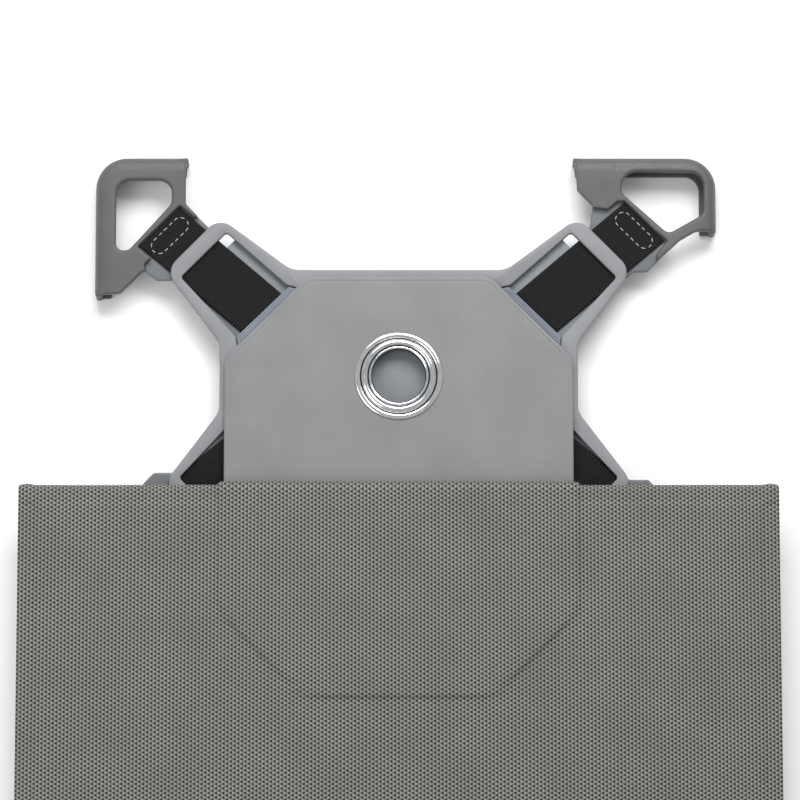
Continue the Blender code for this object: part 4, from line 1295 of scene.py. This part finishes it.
def key_layout():
    """Every row or group: node, body, key boxes in plan, and generic legends."""
    left = -7.25 * KEY_PITCH
    front = box("space_bar")[0].y + 0.9
    deep = ROW_PITCH - KEY_GAP
    rows = [(n, "group", widths, left + start * KEY_PITCH, 0, deep, "") for n, widths, start in BOTTOM]
    rows += [(n, "keys", widths, left, index, deep, text) for n, widths, index, text in ROWS]
    rows.append(("fn_row", "keys", [14.5 / 14] * 14, left, 5, 6.4, ""))
    placed = []
    for name, kind, widths, start, index, depth, text in rows:
        y = front + index * ROW_PITCH
        boxes = []
        for width in widths:
            boxes.append((start + KEY_GAP / 2, start + width * KEY_PITCH - KEY_GAP / 2, y, y + depth))
            start += width * KEY_PITCH
        placed.append((name, f"{name}_{kind}", boxes, text))
    return placed


def merged(name, pieces):
    """One mesh from several separate closed pieces."""
    shape = bmesh.new()
    for piece in pieces:
        shape.from_mesh(piece.data)
        bpy.data.objects.remove(piece, do_unlink=True)
    mesh = bpy.data.meshes.new(name)
    shape.to_mesh(mesh)
    shape.free()
    made = linked(name, mesh)
    return shaded(made, 40.0)


def legend(text, x, y, z, size):
    """One printed character as a thin solid."""
    curve = bpy.data.curves.new("legend", "FONT")
    curve.body = text
    curve.size = size * MM
    curve.extrude = 0.02 * MM
    curve.align_x, curve.align_y = "CENTER", "CENTER"
    curve.resolution_u = 2
    made = linked("legend", curve)
    bpy.context.view_layer.update()
    mesh = bpy.data.meshes.new_from_object(made.evaluated_get(bpy.context.evaluated_depsgraph_get()))
    bpy.data.objects.remove(made, do_unlink=True)
    mesh.transform(Matrix.Translation(Vector((x, y, z)) * MM))
    return linked("legend", mesh)


def keys_and_bezel():
    """Every keycap with its legend, and the bezel with their openings."""
    top, carrier = box("space_bar")[1].z, box("space_bar")[0].z
    low, high = box("keyboard_bezel")
    bezel = slab("moulded_bezel", low, high, 6.0, soft_edge(low.z, high.z, 0.55, False, 4), 10)
    openings = []

    def opening(outline, steps):
        openings.append(lofted("opening", rounded(outline, steps), flared(low.z - 1, high.z, 0.2, 2), 60.0))

    for name, body, boxes, text in key_layout():
        for x0, x1, y0, y1 in boxes:
            opening(rectangle(x0 - 0.5, y0 - 0.5, x1 + 0.5, y1 + 0.5, 1.6), 3)
        caps = [keycap(*key, carrier + 0.3, top) for key in boxes]
        place(merged(f"keycaps_{name}", caps), body, "key_plastic", name)
        if text:
            marks = [
                legend(text[i], (b[0] + b[1]) / 2, (b[2] + b[3]) / 2 + 0.6, top - 0.03, 4.6)
                for i, b in enumerate(boxes) if i < len(text) and text[i] != " "
            ]
            place(merged(f"legends_{name}", marks), body, "legend_ink", slot="key_plastic")
    control = high.y - 6.0
    controls = ((-108.0, -98.0, 1.9, 1.0), (-86.0, -80.0, 2.4, 2.3), (-72.5, -69.5, 1.1, 1.0))
    for x0, x1, half, radius in controls:
        opening(rectangle(x0, control - half, x1, control + half, radius), 5)
    combine(bezel, merged("openings", openings))
    place(evened(shaded(bezel, 40.0)), "front_cover", "case_plastic", "keyboard_bezel")


def keyboard():
    """Keys, bezel, tray with its socket's mouth, ridge, switch and button."""
    keys_and_bezel()
    low, high = box("keyboard_tray")
    tray = slab("moulded_tray", low, high, 6.0, soft_edge(low.z, high.z, 0.6, True, 3), 10)
    wall = 1.6
    inner = rounded(rectangle(low.x + wall, low.y + wall, high.x - wall, high.y - wall, 4.4), 8)
    combine(tray, prism("inside", inner, low.z + 0.8, high.z + 1))
    x = high.x - 24.0
    mouth = rounded(rectangle(x - 4.2, high.y - 3.0, x + 4.2, high.y + 1.0))
    combine(tray, prism("mouth", mouth, low.z + 1.2, low.z + 4.0))
    place(shaded(tray, 40.0), "front_cover", "case_plastic", "keyboard_tray")

    low, high = box("tablet_rest_ridge")
    layers = [(0.0, low.z), (0.0, low.z + 2.2), (0.35, high.z - 1.0), (0.8, high.z - 0.3), (1.4, high.z)]
    ridge = slab("moulded_ridge", low, high, 2.0, layers)
    place(ridge, "front_cover", "membrane_rubber", "tablet_rest_ridge")

    low, high = box("power_switch")
    knob = slab("switch_knob", low, high, 0.6, soft_edge(low.z, high.z, 0.3), 4)
    for k in (-1, 0, 1):
        x = (low.x + high.x) / 2 + k * 1.1
        notch = rounded(rectangle(x - 0.2, low.y - 1, x + 0.2, high.y + 1))
        combine(knob, prism("notch", notch, high.z - 0.25, high.z + 1))
    place(shaded(knob, 40.0), "switch", "key_plastic", "power_switch")

    low, high = box("pair_button")
    x, y, r = (low.x + high.x) / 2, (low.y + high.y) / 2, (high.x - low.x) / 2
    shoulder = [(r, high.z - 0.3), (r - 0.15, high.z - 0.08), (r - 0.5, high.z), (0.05, high.z - 0.08)]
    dome = lathe("button_dome", [(0.05, low.z), (r, low.z)] + shoulder, x, y, 48)
    place(dome, "button", "key_plastic", "pair_button")


# ---------------------------------------------------------------- stage, light, camera


def studio():
    """Pale floor, soft light from beyond the object, and the camera."""
    size = 3.0
    mesh = bpy.data.meshes.new("floor")
    corners = [(-size, -size, 0), (size, -size, 0), (size, size, 0), (-size, size, 0)]
    mesh.from_pydata(corners, [], [(0, 1, 2, 3)])
    floor = linked("floor", mesh)
    floor.location = (0.0, 0.0, -0.0001)
    t = Tree("floor", (0.93, 0.93, 0.93), 0.9)
    floor.data.materials.append(t.material)

    world = bpy.data.worlds.new("studio")
    world.use_nodes = True
    back = world.node_tree.nodes["Background"]
    back.inputs[0].default_value = (1.0, 1.0, 1.0, 1.0)
    back.inputs[1].default_value = 0.55
    bpy.context.scene.world = world

    eye = Vector((0.0, EYE_Y * MM, PLATE_TOP * MM))
    for name, spot, width, height, power in (
        ("key", Vector((0.12, 0.75, 0.95)), 1.1, 0.6, 16.0),
        ("fill", Vector((-0.85, -0.45, 0.9)), 0.8, 0.8, 5.0),
    ):
        lamp = bpy.data.lights.new(name, "AREA")
        lamp.shape = "RECTANGLE"
        lamp.size, lamp.size_y = width, height
        lamp.energy = power
        made = bpy.data.objects.new(name, lamp)
        bpy.context.scene.collection.objects.link(made)
        made.location = eye + spot
        made.rotation_mode = "QUATERNION"
        made.rotation_quaternion = (-spot).to_track_quat("-Z", "Y")

    camera = bpy.data.cameras.new("camera")
    camera.sensor_width = 36.0
    camera.lens = 201.0
    view = bpy.data.objects.new("camera", camera)
    bpy.context.scene.collection.objects.link(view)
    tilt = math.radians(80.8)
    back_off = Vector((0.0, -math.cos(tilt), math.sin(tilt)))
    aim = Vector((0.5, EYE_Y - 9.6, PLATE_TOP)) * MM
    view.location = aim + back_off * 1.757
    view.rotation_mode = "QUATERNION"
    view.rotation_quaternion = (-back_off).to_track_quat("-Z", "Y")
    camera.clip_start, camera.clip_end = 0.05, 20.0
    bpy.context.scene.camera = view
    bpy.context.scene.view_settings.view_transform = "Standard"


INNER = {
    "front_board": "board", "spine_board": "board", "leg_board": "board", "leg_doubler": "board",
    "far_board": "board", "key_membrane": "membrane_rubber", "keyboard_pcb": "circuit_board",
    "keyboard_battery": "battery_wrap", "usb_socket": "steel", "status_lens": "lens",
}


def main():
    for node, material in INNER.items():
        dress(NODES[node], material)
    leg_sheet()
    crease_skin()
    spine_and_folds()
    front_panel()
    swivel_plate()
    eyelet()
    swivel_frame()
    for corner in SIGNS:
        strap(corner)
        tab_stitches(corner)
    grip("upper_left", TALL, list)
    grip("upper_right", WIDE, list)
    grip("lower_right", WIDE, flipped)
    grip("lower_left", BROAD, turned)
    keyboard()
    studio()


main()
